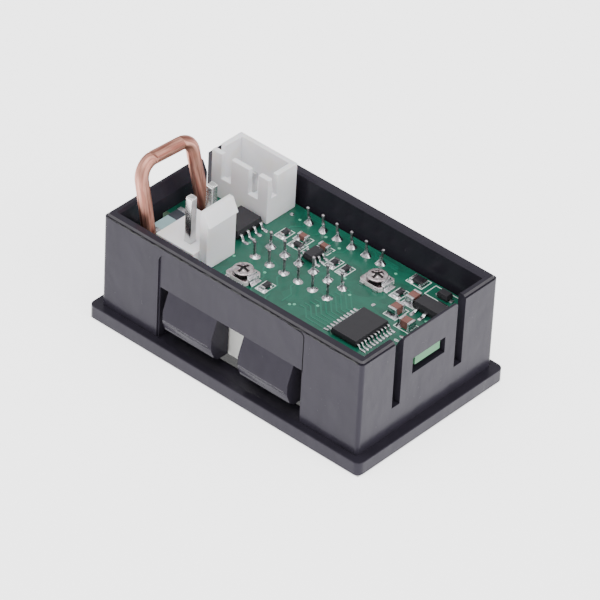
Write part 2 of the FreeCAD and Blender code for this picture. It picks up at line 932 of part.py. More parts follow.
def diode_leads():
    """The diode's flat lead at each end."""
    x, y = diode_centre
    half = diode_lead_width / 2
    top_z = board_top_z + diode_lead_thickness
    leads = []
    for side in (-1, 1):
        inner = x + side * (diode_length / 2 - lead_root)
        outer = x + side * (diode_length / 2 + diode_lead_reach)
        leads.append(block(min(inner, outer), max(inner, outer), y - half, y + half, board_top_z, top_z))
    return leads


def diode_body(leads):
    body = moulded_block(diode_centre, diode_length, diode_width, board_top_z, diode_height)
    return body.cut(leads)


def chip_part_places():
    """Every chip part with its place worked out: kind, x, y and the axis that it lies along."""
    places = [(kind, x, display_offset + y, axis) for kind, x, y, axis in parts_at_voltage_display]
    places += [(kind, x, -display_offset + y, axis) for kind, x, y, axis in parts_at_current_display]
    places += [(kind, board_end_x - x, y, axis) for kind, x, y, axis in parts_in_from_end]
    places += [
        (kind, board_end_x - x, board_side_y - y, axis) for kind, x, y, axis in parts_in_from_far_corner
    ]
    places.append(("power resistor", power_resistor_x, power_resistor_y, "Y"))
    return places


def chip_part(kind, x, y, axis, end_share):
    """The body and the two metal ends of one chip part."""
    length, width, height = chip_sizes[kind]
    end = length * end_share
    grow = 2 * chip_end_proud
    body = centred_block((0, 0), length - 2 * end, width, board_top_z, height)
    ends = [
        centred_block((side * (length - end) / 2, 0), end, width + grow, board_top_z, height + chip_end_proud)
        for side in (-1, 1)
    ]
    for solid in [body] + ends:
        if axis == "Y":
            solid.rotate(vec(0, 0, 0), vec(0, 0, 1), 90)
        solid.translate(vec(x, y, 0))
    return body, ends


def trimmer_base(centre):
    """A trimmer's base: a well for the rotor, with a pivot bore in its floor."""
    x, y = centre
    top_z = board_top_z + trimmer_base_height
    base = centred_block(centre, trimmer_length, trimmer_width, board_top_z, trimmer_base_height)
    upright = [e for e in base.Edges if e.BoundBox.ZLength > trimmer_base_height / 2]
    base = base.makeChamfer(trimmer_corner, upright)
    well_z = top_z - trimmer_well_depth
    well = rod(x, y, well_z, top_z, rotor_radius + trimmer_well_clearance)
    bore_radius = rotor_pivot_radius + rotor_pivot_clearance
    bore = rod(x, y, well_z - trimmer_bore_depth, well_z, bore_radius)
    return base.cut([well, bore])


def trimmer_rotor(centre):
    """A trimmer's rotor: a disc over the well, with a pivot that turns in the bore."""
    x, y = centre
    well_z = board_top_z + trimmer_base_height - trimmer_well_depth
    disc_z = well_z + rotor_lift
    disc = rod(x, y, disc_z, disc_z + rotor_height, rotor_radius)
    pivot = rod(x, y, well_z - trimmer_bore_depth + rotor_pivot_end_gap, disc_z, rotor_pivot_radius)
    return fused([disc, pivot])


def trimmer_wiper(centre):
    """The metal disc on a rotor, with a cross slot for a screwdriver."""
    x, y = centre
    well_z = board_top_z + trimmer_base_height - trimmer_well_depth
    low_z = well_z + rotor_lift + rotor_height
    disc = rod(x, y, low_z, low_z + wiper_thickness, wiper_radius)
    along = centred_block(centre, wiper_slot_length, wiper_slot_width, low_z, wiper_thickness)
    across = centred_block(centre, wiper_slot_width, wiper_slot_length, low_z, wiper_thickness)
    return disc.cut([along, across])


def trimmer_terminals(centre):
    """A trimmer's terminals: two blocks on its near side and the wiper's bent strap at its end."""
    x, y = centre
    near_y = y - trimmer_width / 2
    half = terminal_width / 2
    low_z = board_top_z
    terminals = [
        block(x + dx - half, x + dx + half, near_y - terminal_out, near_y, low_z, low_z + terminal_height)
        for dx in row(2, terminal_spacing)
    ]
    base_z = board_top_z + trimmer_base_height
    wiper_z = base_z - trimmer_well_depth + rotor_lift + rotor_height + wiper_thickness
    inner = wiper_radius + strap_wiper_clearance
    edge = trimmer_length / 2
    foot = edge + strap_foot_reach
    thick = strap_thickness
    profile = [
        (inner, base_z),
        (inner, wiper_z),
        (inner + thick, wiper_z),
        (inner + thick, base_z + thick),
        (edge + thick, base_z + thick),
        (edge + thick, low_z + thick),
        (foot, low_z + thick),
        (foot, low_z),
        (edge, low_z),
        (edge, base_z),
    ]
    points = [vec(x + dx, y - strap_width / 2, z) for dx, z in profile]
    return terminals + [prism(points, vec(0, strap_width, 0))]


def build_displays():
    for name, display_y in (("voltage", display_offset), ("current", -display_offset)):
        segments = display_segments(display_y)
        write(name + "_display_case", display_case(display_y, segments))
        write(name + "_display_segments", Part.makeCompound(segments))
        write(name + "_display_pins", Part.makeCompound(display_pins(display_y)))


def build_headers():
    signal_pins = signal_header_pins()
    write("signal_header_pins", Part.makeCompound(signal_pins))
    write("signal_header_shell", signal_header_shell(signal_pins))
    power_pins = power_header_pins()
    write("power_header_pins", Part.makeCompound(power_pins))
    write("power_header_shell", power_header_shell(power_pins))


def build_chips():
    for name, chip, centre in (
        ("microcontroller", micro, micro_centre),
        ("amplifier", amplifier, amplifier_centre),
        ("reference", reference, reference_centre),
    ):
        leads = chip_leads(chip, centre)
        write(name + "_leads", Part.makeCompound(leads))
        write(name + "_body", chip_body(chip, centre, leads))
    leads = regulator_leads()
    write("regulator_leads", Part.makeCompound(leads))
    write("regulator_body", regulator_body(leads))
    leads = diode_leads()
    write("diode_leads", Part.makeCompound(leads))
    write("diode_body", diode_body(leads))


def build_chip_parts():
    resistors = ("small resistor", "large resistor")
    capacitors = ("small capacitor", "large capacitor")
    for name, ends_name, kinds, end_share in (
        ("chip_resistors", "chip_resistor_ends", resistors, chip_end_share),
        ("power_resistor", "power_resistor_ends", ("power resistor",), power_resistor_end_share),
        ("ceramic_capacitors", "ceramic_capacitor_ends", capacitors, chip_end_share),
    ):
        bodies = []
        ends = []
        for kind, x, y, axis in chip_part_places():
            if kind in kinds:
                body, pair = chip_part(kind, x, y, axis, end_share)
                bodies.append(body)
                ends += pair
        write(name, Part.makeCompound(bodies))
        write(ends_name, Part.makeCompound(ends))


def build_trimmers():
    for name, centre in (("current", current_trimmer_centre), ("voltage", voltage_trimmer_centre)):
        write(name + "_trimmer_base", trimmer_base(centre))
        write(name + "_trimmer_terminals", Part.makeCompound(trimmer_terminals(centre)))
        write(name + "_trimmer_rotor", trimmer_rotor(centre))
        write(name + "_trimmer_wiper", trimmer_wiper(centre))


def shunt_solder():
    """The solder round both feet of the shunt."""
    foot_radius = shunt_wire_radius + shunt_solder_out
    neck_radius = shunt_wire_radius + shunt_solder_neck
    cones = [
        solder_cone(x, y, shunt_wire_radius, foot_radius, neck_radius, shunt_solder_height)
        for x, y in shunt_feet()
    ]
    return Part.makeCompound(cones)


os.makedirs("parts", exist_ok=True)
write("housing", housing())
write("display_filter", display_filter())
write("circuit_board", circuit_board())
build_displays()
write("display_pin_solder", solder_joints())
write("copper_shunt", copper_shunt())
write("shunt_solder", shunt_solder())
build_headers()
build_chips()
build_chip_parts()
build_trimmers()
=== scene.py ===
# The looks of a digital panel meter that lies on its face with its open back up.
import math

import bmesh
import bpy
import numpy as np
from mathutils import Matrix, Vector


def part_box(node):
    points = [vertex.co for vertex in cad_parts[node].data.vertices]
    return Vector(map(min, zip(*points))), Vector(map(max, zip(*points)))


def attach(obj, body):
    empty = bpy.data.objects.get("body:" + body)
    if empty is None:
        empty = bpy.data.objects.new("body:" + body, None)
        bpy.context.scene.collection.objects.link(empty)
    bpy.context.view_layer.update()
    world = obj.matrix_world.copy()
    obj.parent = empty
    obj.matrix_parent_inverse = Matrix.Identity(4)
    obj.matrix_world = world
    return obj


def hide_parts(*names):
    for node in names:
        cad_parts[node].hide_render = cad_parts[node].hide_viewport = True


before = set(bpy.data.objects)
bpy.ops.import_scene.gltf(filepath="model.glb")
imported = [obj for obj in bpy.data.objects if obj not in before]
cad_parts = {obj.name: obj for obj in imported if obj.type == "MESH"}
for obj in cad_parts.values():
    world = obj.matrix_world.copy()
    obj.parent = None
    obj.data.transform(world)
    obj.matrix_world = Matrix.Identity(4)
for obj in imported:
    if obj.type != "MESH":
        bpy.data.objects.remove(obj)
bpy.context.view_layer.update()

mm = 0.001
chance = np.random.default_rng(7)


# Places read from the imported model, in millimetres

def nodeCorners(node):
    low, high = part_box(node)
    return np.array(low) / mm, np.array(high) / mm


def nodeSolids(node):
    # boxes of a node's solids: every vertex takes the lowest label it can reach along the edges
    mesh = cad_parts[node].data
    places = np.empty(len(mesh.vertices) * 3)
    mesh.vertices.foreach_get("co", places)
    ends = np.empty(len(mesh.edges) * 2, dtype=int)
    mesh.edges.foreach_get("vertices", ends)
    spots, number = np.unique(np.round(places.reshape(-1, 3) / mm, 3), axis=0, return_inverse=True)
    ends = number.reshape(-1)[ends].reshape(-1, 2)
    label = np.arange(len(spots))
    while True:
        lower = label.copy()
        np.minimum.at(lower, ends[:, 0], label[ends[:, 1]])
        np.minimum.at(lower, ends[:, 1], label[ends[:, 0]])
        if (lower == label).all():
            break
        label = lower
    groups = [spots[label == one] for one in np.unique(label)]
    return np.array([(group.min(0), group.max(0)) for group in groups])


boardTop = nodeCorners("circuit_board")[1][2]
rimTop = nodeCorners("housing")[1][2]


# Shader maths

class Value:
    # one output socket: a sum on it adds its Math node
    def __init__(self, finish, socket):
        self.finish = finish
        self.socket = socket

    def sum(self, operation, *terms):
        return self.finish.add("ShaderNodeMath", {"operation": operation}, dict(enumerate(terms)))

    def __add__(self, other):
        return self.sum("ADD", self, other)

    def __radd__(self, other):
        return self.sum("ADD", other, self)

    def __sub__(self, other):
        return self.sum("SUBTRACT", self, other)

    def __rsub__(self, other):
        return self.sum("SUBTRACT", other, self)

    def __mul__(self, other):
        return self.sum("MULTIPLY", self, other)

    def __rmul__(self, other):
        return self.sum("MULTIPLY", other, self)

    def above(self, edge, soft):
        # 0 below the edge and 1 past edge + soft
        settings = {"interpolation_type": "SMOOTHSTEP"}
        sockets = {"Value": self, "From Min": edge, "From Max": edge + soft}
        return self.finish.add("ShaderNodeMapRange", settings, sockets)

    def below(self, edge, soft):
        return 1 - self.above(edge - soft, soft)


class Finish:
    # one material: constants go on the shader's sockets, patterns come from add()
    def __init__(self, name, unrolled=False, **constants):
        self.material = bpy.data.materials.new(name)
        self.material.use_nodes = True
        self.tree = self.material.node_tree
        self.shader = self.tree.nodes["Principled BSDF"]
        for socket, value in constants.items():
            self.shader.inputs[socket.replace("_", " ")].default_value = value
        if unrolled:    # a piece's own place along and round its wire, in millimetres
            self.place = self.add("ShaderNodeAttribute", {"attribute_name": "unrolled"}, output="Vector")
        else:
            place = self.add("ShaderNodeTexCoord", output="Object")
            self.place = self.add(
                "ShaderNodeVectorMath", {"operation": "SCALE"}, {"Vector": place, "Scale": 1 / mm}
            )

    def add(self, kind, settings=None, sockets=None, output=0):
        made = self.tree.nodes.new(kind)
        for name, value in (settings or {}).items():
            setattr(made, name, value)
        for name, value in (sockets or {}).items():
            self.plug(made.inputs[name], value)
        return Value(self, made.outputs[output])

    def plug(self, socket, value):
        if isinstance(value, Value):
            self.tree.links.new(value.socket, socket)
        else:
            socket.default_value = value

    def feed(self, socket, value):
        self.plug(self.shader.inputs[socket], value)

    def noise(self, perMm, detail=2.0, stretch=(1, 1, 1), spread=0.5):
        # cloudy noise with so many lumps a millimetre, stretched by the factors
        place = self.add("ShaderNodeVectorMath", {"operation": "MULTIPLY"}, {0: self.place, 1: stretch})
        sockets = {"Vector": place, "Scale": perMm, "Detail": detail, "Roughness": spread}
        return self.add("ShaderNodeTexNoise", {}, sockets)

    def specks(self, perMm, share, size):
        # round specks: cells near their middle, kept where the cell's own random number is low
        sockets = {"Vector": self.place, "Scale": perMm}
        near = self.add("ShaderNodeTexVoronoi", {}, sockets).below(size, size * 0.4)
        colour = self.add("ShaderNodeTexVoronoi", {}, sockets, output="Color")
        return near * self.add("ShaderNodeSeparateColor", {}, {"Color": colour}).below(share, 0.01)

    def mixed(self, share, first, second):
        # from the first to the second colour, each a pattern or three screen values of 0 to 255
        first, second = (c if isinstance(c, Value) else tint(*c) for c in (first, second))
        settings = {"data_type": "RGBA"}
        return self.add("ShaderNodeMix", settings, {0: share, 6: first, 7: second}, output=2)

    def colour(self, share, first, second):
        self.feed("Base Color", self.mixed(share, first, second))

    def bump(self, height, strength=1.0, depthMm=0.02):
        sockets = {"Height": height, "Strength": strength, "Distance": depthMm * mm}
        self.feed("Normal", self.add("ShaderNodeBump", {}, sockets))


def tint(red, green, blue):
    # a linear colour from screen values of 0 to 255
    share = np.array([red, green, blue]) / 255
    linear = np.where(share <= 0.04045, share / 12.92, ((share + 0.055) / 1.055) ** 2.4)
    return (*linear.tolist(), 1.0)


def housingFinish():
    # glossy black moulding: slow waves that bend reflections, fine grain, faint bands, scuffs and dust
    f = Finish("glossy_black_moulding", Specular_IOR_Level=0.16, Specular_Tint=(0.92, 0.88, 1.0, 1.0))
    cloud = f.noise(0.25, 3.0)
    waves = f.noise(0.3, 2.0, (1, 1, 0.7))
    bands = f.noise(0.5, 2.0, (1, 1, 0.12))
    grain = f.noise(9.0)
    dust = f.specks(0.3, 0.05, 0.035) * 0.5
    scuff = f.noise(1.3, 4.0, (1, 1, 0.4), 0.7).above(0.66, 0.12) * 0.15
    base = f.mixed(bands, (36, 34, 41), (44, 41, 50))
    f.colour(dust + scuff * 0.2, base, (150, 146, 148))
    f.feed("Roughness", 0.15 + 0.12 * cloud + 0.05 * grain + 0.4 * dust + scuff)
    f.bump(waves + grain * 0.02 + bands * 0.1, 1.0, 0.11)
    return f.material


def nylonFinish():
    # white nylon: faintly uneven, a little milky, a grey speck here and there
    f = Finish("white_nylon", IOR=1.5, Subsurface_Weight=0.12, Subsurface_Scale=0.001)
    cloud = f.noise(0.5)
    speck = f.specks(0.5, 0.1, 0.05)
    cream = f.noise(0.3).above(0.5, 0.3)
    base = f.mixed(cloud, (243, 243, 246), (232, 232, 236))
    base = f.mixed(cream * 0.6, base, (236, 231, 219))
    f.colour(speck * 0.5, base, (120, 116, 112))
    f.feed("Roughness", 0.38 + 0.15 * cloud)
    f.bump(f.noise(3.0), 0.2, 0.03)
    return f.material


def maskFinish():
    # green solder mask under a clear gloss, lighter where copper lies below it
    f = Finish("green_solder_mask", Coat_Weight=0.5, Coat_Roughness=0.14, IOR=1.45)
    areas = f.noise(0.22, 1.0, (1, 1.3, 1)).above(0.47, 0.02)
    cloud = f.noise(0.6, 3.0)
    fine = f.noise(5.0)
    base = f.mixed(areas, (0, 70, 54), (0, 80, 62))
    base = f.mixed(cloud.above(0.35, 0.4) * 0.6, base, (2, 92, 72))
    f.colour(fine * 0.2, base, (26, 116, 95))
    f.feed("Roughness", 0.34 + 0.15 * fine)
    f.bump(fine * 0.4 + areas + cloud * 0.4, 0.3, 0.03)
    return f.material


def trackFinish():
    # the mask where it covers copper tracks: the same green, a shade lighter
    f = Finish("mask_over_tracks", Coat_Weight=0.5, Coat_Roughness=0.14, IOR=1.45)
    fine = f.noise(3.0)
    f.colour(fine, (4, 92, 72), (14, 102, 81))
    f.feed("Roughness", 0.32 + 0.1 * fine)
    f.bump(fine, 0.2)
    return f.material


def laminateFinish():
    # the cut edge of the board: pale green glass and resin in layers
    f = Finish("cut_laminate", Roughness=0.6)
    layers = f.noise(2.2, 3.0, (0.15, 0.15, 4.0))
    f.colour(layers, (52, 108, 74), (84, 138, 100))
    f.bump(layers, 0.4, 0.03)
    return f.material


def metalFinish(name, light, dark, rough, lumps, depth=0.02):
    # bare metal whose colour and shine wander between two values
    f = Finish(name, Metallic=1.0)
    cloud = f.noise(lumps, 3.0)
    f.colour(cloud.above(0.3, 0.4), dark, light)
    f.feed("Roughness", rough + 0.2 * cloud)
    f.bump(cloud, 0.4, depth)
    return f.material


def copperFinish():
    # drawn copper, dull pink, with long streaks down the wire and browner towards its feet
    f = Finish("drawn_copper", unrolled=True, Metallic=1.0)
    streaks = f.noise(1.6, 4.0, (1, 1, 0.08), 0.6)
    patches = f.noise(0.4, 3.0, (1, 1, 0.6))
    foot = f.add("ShaderNodeAttribute", {"attribute_name": "foot"}, output="Fac")
    ends = f.noise(0.5) * 0.3 + foot
    base = f.mixed(streaks.above(0.35, 0.3), (150, 96, 84), (226, 170, 152))
    base = f.mixed(patches.above(0.5, 0.25) * 0.5, base, (196, 128, 108))
    f.colour(ends.above(0.5, 0.6), base, (112, 70, 66))
    f.feed("Roughness", 0.3 + 0.2 * streaks + 0.1 * patches)
    f.bump(streaks + patches * 0.5, 0.5, 0.05)
    return f.material


def epoxyFinish():
    # matt black moulding compound with a fine sparkle of filler
    f = Finish("black_moulding_compound", IOR=1.5)
    filler = f.noise(12.0)
    cloud = f.noise(0.8)
    f.colour(filler, (27, 26, 30), (42, 40, 46))
    f.feed("Roughness", 0.5 + 0.15 * cloud)
    f.bump(filler, 0.5)
    return f.material


def plainFinish(name, first, second, rough, lumps=1.5, specular=0.5):
    # a plain hard surface, its colour and shine slightly uneven
    f = Finish(name, Specular_IOR_Level=specular)
    cloud = f.noise(lumps, 2.0)
    f.colour(cloud, first, second)
    f.feed("Roughness", rough + 0.12 * cloud)
    f.bump(cloud, 0.3)
    return f.material


def smokedFinish():
    # dark clear plastic that light passes straight through
    f = Finish("smoked_clear_plastic", Roughness=0.08, IOR=1.49, Alpha=0.62)
    cloud = f.noise(0.4)
    f.colour(cloud, (14, 10, 12), (22, 15, 17))
    f.bump(cloud, 0.05)
    return f.material


metals = {    # name, light and dark colour, roughness, lumps a millimetre, depth of the bumps
    "solder": ("solder", (236, 235, 238), (176, 172, 178), 0.12, 2.5),
    "tinned": ("tinned_wire", (180, 174, 178), (116, 110, 114), 0.2, 2.0),
    "pin": ("tinned_pin", (228, 228, 227), (196, 196, 196), 0.14, 0.5, 0.01),
    # tinned metal made darker for the resistors' far ends: a painted reflection of the dark wall
    "paintedDarkEnd": ("tinned_end_painted_dark", (118, 114, 118), (70, 67, 71), 0.3, 2.0),
    "lead": ("tinned_lead", (240, 239, 242), (196, 194, 198), 0.18, 2.0),
    "wiper": ("nickel_wiper", (226, 214, 216), (166, 154, 158), 0.16, 1.5),
}
plains = {    # name, two colours, roughness, lumps a millimetre, specular level
    "ink": ("white_legend_ink", (232, 240, 236), (204, 222, 214), 0.5, 5.0),
    # flash under the rim, darker than the moulding: painted shade of the groove there
    "flashAndPaintedShade": ("flash_darkened_as_painted_shade", (12, 12, 13), (24, 23, 26), 0.5, 2.0),
    # a dark bead at the sunk panel's edge: painted shade
    "paintedPanelShade": ("painted_panel_edge_shade", (12, 12, 13), (20, 19, 22), 0.7, 2.0, 0.05),
    # a lighter black on the rim's slanted edge: a painted highlight
    "paintedRimHighlight": ("painted_rim_highlight", (44, 42, 46), (62, 59, 65), 0.34, 0.8),
    "ceramic": ("white_ceramic", (222, 220, 218), (205, 203, 200), 0.4),
    "glaze": ("pale_blue_glaze", (172, 202, 206), (150, 184, 190), 0.3, 0.9),
    "film": ("black_resistor_film", (26, 25, 30), (40, 38, 45), 0.28),
    "stripe": ("dark_glaze", (70, 74, 82), (52, 56, 64), 0.3),
    "tan": ("brown_capacitor", (128, 84, 77), (102, 66, 61), 0.45),
    "rotor": ("black_rotor", (20, 20, 21), (32, 31, 33), 0.45),
    "case": ("white_display_case", (226, 226, 222), (212, 212, 208), 0.45),
    "face": ("black_display_face", (20, 20, 22), (28, 28, 30), 0.5),
    "segment": ("milky_segment", (206, 200, 190), (190, 184, 176), 0.3),
    "via": ("covered_via", (110, 186, 156), (84, 164, 134), 0.35, 3.0),
}
finishes = {
    "housing": housingFinish(),
    "nylon": nylonFinish(),
    "mask": maskFinish(),
    "track": trackFinish(),
    "laminate": laminateFinish(),
    "epoxy": epoxyFinish(),
    "copper": copperFinish(),
    "smoked": smokedFinish(),
}
finishes.update({finish: metalFinish(*facts) for finish, facts in metals.items()})
finishes.update({finish: plainFinish(*facts) for finish, facts in plains.items()})
print("finishes:", len(finishes))


# Meshes

def gridFaces(copies, rows, columns, looped):
    # quads between neighbouring rows and columns of every copy, and unless looped a face over each end
    row, column = np.meshgrid(
        np.arange(rows if looped else rows - 1), np.arange(columns), indexing="ij"
    )
    nextRow = (row + 1) % rows
    nextColumn = (column + 1) % columns
    corners = [row * columns + column, row * columns + nextColumn]
    corners += [nextRow * columns + nextColumn, nextRow * columns + column]
    start = (np.arange(copies) * rows * columns)[:, None, None]
    faces = (np.stack(corners, -1).reshape(1, -1, 4) + start).reshape(-1, 4).tolist()
    if not looped:
        first = np.arange(columns)[None, ::-1] + start[:, :, 0]
        last = np.arange(columns)[None] + (rows - 1) * columns + start[:, :, 0]
        faces += first.tolist() + last.tolist()
    return faces


def addObject(name, data):
    made = bpy.data.objects.new(name, data)
    bpy.context.scene.collection.objects.link(made)
    return made


def addPiece(name, mesh, materials, slot, body="meter", replaced=(), crease=35):
    # smooth, but sharp where faces meet at more degrees than the crease
    mesh.polygons.foreach_set("use_smooth", np.ones(len(mesh.polygons), dtype=bool))
    mesh.set_sharp_from_angle(angle=math.radians(crease))
    piece = addObject(name, mesh)
    for material in materials:
        mesh.materials.append(finishes[material])
    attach(piece, body)
    if replaced:
        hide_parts(*replaced)
    return piece


def gridPiece(name, points, material, slot, looped=False, **more):
    # one piece from points in millimetres, of shape (copies, rows, columns, 3)
    mesh = bpy.data.meshes.new(name)
    faces = gridFaces(*points.shape[:3], looped)
    mesh.from_pydata((points.reshape(-1, 3) * mm).tolist(), [], faces)
    mesh.validate()
    return addPiece(name, mesh, [material], slot, **more)


def faceVectors(piece, field):
    # the normals or centres of a piece's faces, one row each
    vectors = np.empty(len(piece.data.polygons) * 3)
    piece.data.polygons.foreach_get(field, vectors)
    return vectors.reshape(-1, 3)


def markFaces(piece, chosen):
    # the chosen faces take the piece's second material
    piece.data.polygons.foreach_set("material_index", chosen.astype(int))


def unit(vectors):
    # the same directions with length 1
    return vectors / np.linalg.norm(vectors, axis=-1, keepdims=True)


def fullTurn(steps):
    return np.linspace(0, 2 * np.pi, steps, endpoint=False)


cornerSides = np.array([(1, 1), (-1, 1), (-1, -1), (1, -1)])


def rings(half, corner, steps):
    # rounded rectangles from above: the corner's centre plus its radius times (cos, sin)
    angles = np.radians(np.arange(4)[:, None] * 90 + np.linspace(0, 90, steps))
    arc = np.stack((np.cos(angles), np.sin(angles)), -1)
    half = half[..., None, None, :]
    corner = np.asarray(corner)[..., None, None, None]
    flat = cornerSides[:, None] * (half - corner) + corner * arc
    return flat.reshape(*flat.shape[:-3], 4 * steps, 2)


def raised(flat, levels):
    # points in space from points seen from above and their heights
    levels = np.broadcast_to(levels[..., None], flat.shape[:-1] + (1,))
    return np.concatenate((flat, levels), -1)


def stacked(low, high, insets, shares, corner, steps=4):
    # row k of every block is its outline moved in by insets[k], at shares[k] of the way up
    half = (high - low)[:, None, :2] / 2 - insets[:, None]
    radius = np.maximum(corner - insets, 0.01) * np.ones(half.shape[:2])
    radius = np.minimum(radius, half.min(-1))
    flat = rings(half, radius, steps) + (low + high)[:, None, None, :2] / 2
    level = low[:, None, 2] + (high - low)[:, None, 2] * shares
    return raised(flat, level[:, :, None])


def blocks(low, high, edge, corner, turns=4):
    # blocks whose edges are quarter circles: in by edge * (1 - sin), up by edge * (1 - cos)
    angles = np.linspace(0, np.pi / 2, turns)
    share = edge / (high - low)[0, 2]
    inward = edge * (1 - np.sin(angles))
    upward = share * (1 - np.cos(angles))
    insets = np.concatenate((inward, inward[::-1]))
    shares = np.concatenate((upward, 1 - upward[::-1]))
    return stacked(low, high, insets, shares, corner)


def skirts(low, high, flare, steep, corner, rows=7, steps=5):
    # solder drawn up round a foot: the outline grows by flare * (1 - height share) ** steep
    shares = np.linspace(0, 1, rows)
    return stacked(low, high, -flare * (1 - shares) ** steep, shares, corner, steps)


def turned(places, radii, heights, around):
    # a profile turned about an upright line at each place: place + radius * (cos, sin)
    turn = fullTurn(around)
    circle = np.stack((np.cos(turn), np.sin(turn)), -1)
    radii = radii[..., None] if radii.ndim == 2 else radii
    return raised(places[:, None, None] + radii[..., None] * circle, heights[..., None])


def smooth(value):
    # 0 below 0, 1 above 1, and 3 t^2 - 2 t^3 between
    t = np.clip(value, 0, 1)
    return t * t * (3 - 2 * t)


def ribbons(paths, width, low, high):
    # a flat bar along every path: its sides stand half the width off the middle line, mitred at turns
    ahead = unit(np.diff(paths, axis=1))
    before = np.concatenate((ahead[:, :1], ahead), 1)
    after = np.concatenate((ahead, ahead[:, -1:]), 1)
    middle = unit(before + after)
    reach = width / 2 / np.sum(middle * after, -1, keepdims=True)
    across = np.stack((-middle[..., 1], middle[..., 0]), -1) * reach
    return barPoints(paths, across, low, high)


def frames(low, high, width, base, top):
    # closed rectangular outlines, mitred: the corners moved out along the diagonal by half the width
    half = (high - low)[:, None, :2] / 2
    paths = (low + high)[:, None, :2] / 2 + half * cornerSides
    across = -np.ones(paths.shape) * cornerSides * width / 2
    return barPoints(paths, across, base, top)


def barPoints(paths, across, low, high):
    # four corners round each point of a path: one side low and high, the other side high and low
    flat = np.stack((paths - across, paths + across, paths + across, paths - across), 2)
    return raised(flat, np.array([low, low, high, high])[None, None])


def roundedRoute(points, radii, arcSteps):
    # straight runs with a tangent arc at each inner point: arc points are centre + radius * (cos, sin)
    points = np.array(points)
    route = [points[0]]
    for before, corner, after, radius in zip(points, points[1:], points[2:], radii):
        into, out = unit(corner - before), unit(after - corner)
        halfTurn = math.acos(np.clip(into @ out, -1, 1)) / 2
        inward, along = unit(out - into), unit(into + out)
        centre = corner + inward * radius / math.cos(halfTurn)
        angles = np.linspace(-halfTurn, halfTurn, arcSteps)[:, None]
        route += list(centre + radius * (along * np.sin(angles) - inward * np.cos(angles)))
    route.append(points[-1])
    return np.array(route)


def tubePoints(route, radius, around, side):
    # a circle of the radius carried along the route, square to it, started from a side direction
    side = np.array(side)
    forward = unit(np.gradient(route, axis=0))
    across = unit(side - (forward @ side)[:, None] * forward)
    upward = np.cross(forward, across)
    turn = fullTurn(around)[None, :, None]
    ring = across[:, None] * np.cos(turn) + upward[:, None] * np.sin(turn)
    return route[:, None] + ring * radius


softening = {
    "merge": 0.0005,    # points nearer than this are one
    "flat": 0.5,    # degrees between faces that are joined
    "bevelFrom": 28,    # degrees between faces whose edge is rounded
    "segments": 2,
    "stretches": {    # a fixed point, and the factors by which a copy grows away from it
        "signal_header_shell": ((-10.0, 10.45, boardTop), (1.035, 1.0, 1.035)),
        "regulator_body": ((17.95, 4.75, boardTop), (0.97, 0.9, 0.9)),
    },
}


def softened(node, name, materials, slot, width, crease=28):
    # a merged copy of a node's mesh, flat faces joined, whose edges a bevel of the width rounds
    shape = bmesh.new()
    shape.from_mesh(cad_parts[node].data)
    bmesh.ops.remove_doubles(shape, verts=shape.verts, dist=softening["merge"] * mm)
    bmesh.ops.dissolve_limit(
        shape, angle_limit=math.radians(softening["flat"]), verts=shape.verts, edges=shape.edges
    )
    if node in softening["stretches"]:
        fixed, factors = softening["stretches"][node]
        shift = Matrix.Translation([place * mm for place in fixed])
        bmesh.ops.transform(
            shape, matrix=shift @ Matrix.Diagonal((*factors, 1)) @ shift.inverted(), verts=shape.verts
        )
    mesh = bpy.data.meshes.new(name)
    shape.to_mesh(mesh)
    shape.free()
    mesh.materials.clear()
    piece = addPiece(name, mesh, materials, slot, replaced=[node], crease=crease)
    bevel = piece.modifiers.new("rounded_edges", "BEVEL")
    bevel.width = width * mm
    bevel.segments = softening["segments"]
    bevel.limit_method = "ANGLE"
    bevel.angle_limit = math.radians(softening["bevelFrom"])
    bevel.use_clamp_overlap = True
    bevel.harden_normals = True
    return piece


# Housing, window and displays

# where the rim's slanted outer edge is painted lighter: a painted highlight along the rim
paintedRimHighlight = {
    "band": 0.3,    # how far under the rim's top the slanted edge lies
    "slant": (0.6, 0.8),    # the upward share of its normal
}


def paintedHighlightFaces(piece):
    # the rim's slanted outer edge, which takes a lighter black as a painted highlight: faces near its
    # top whose normal leans up and away from the middle
    normals, centres = faceVectors(piece, "normal"), faceVectors(piece, "center") / mm
    outward = (normals[:, :2] * centres[:, :2]).sum(1) > 0
    slanted = (normals[:, 2] > paintedRimHighlight["slant"][0]) & (normals[:, 2] < paintedRimHighlight["slant"][1])
    return slanted & outward & (centres[:, 2] > rimTop - paintedRimHighlight["band"])


housing = softened(
    "housing", "moulded_housing", ["housing", "paintedRimHighlight"], "housing_plastic", width=0.07, crease=6
)
# the slanted edge faces take the lighter black: a painted highlight
markFaces(housing, paintedHighlightFaces(housing))
# a wavy bead of moulding flash under the near rim, darker than the moulding: painted shade of the groove
flashAndPaintedShade = {
    "radius": 0.09,
    "below": 0.3,    # under the rim's top
    "wave": 0.07,
    "ripples": (1.9, 0.37, 4.3, 0.8),    # radians a millimetre
    "swells": (1.3, 0.5),
    "swell": 0.35,    # share of the radius that comes and goes
    "steps": 240,
    "around": 8,
    "inset": 0.7,    # from the body's ends
    "bodyHalf": (22.73, 13.35),
}


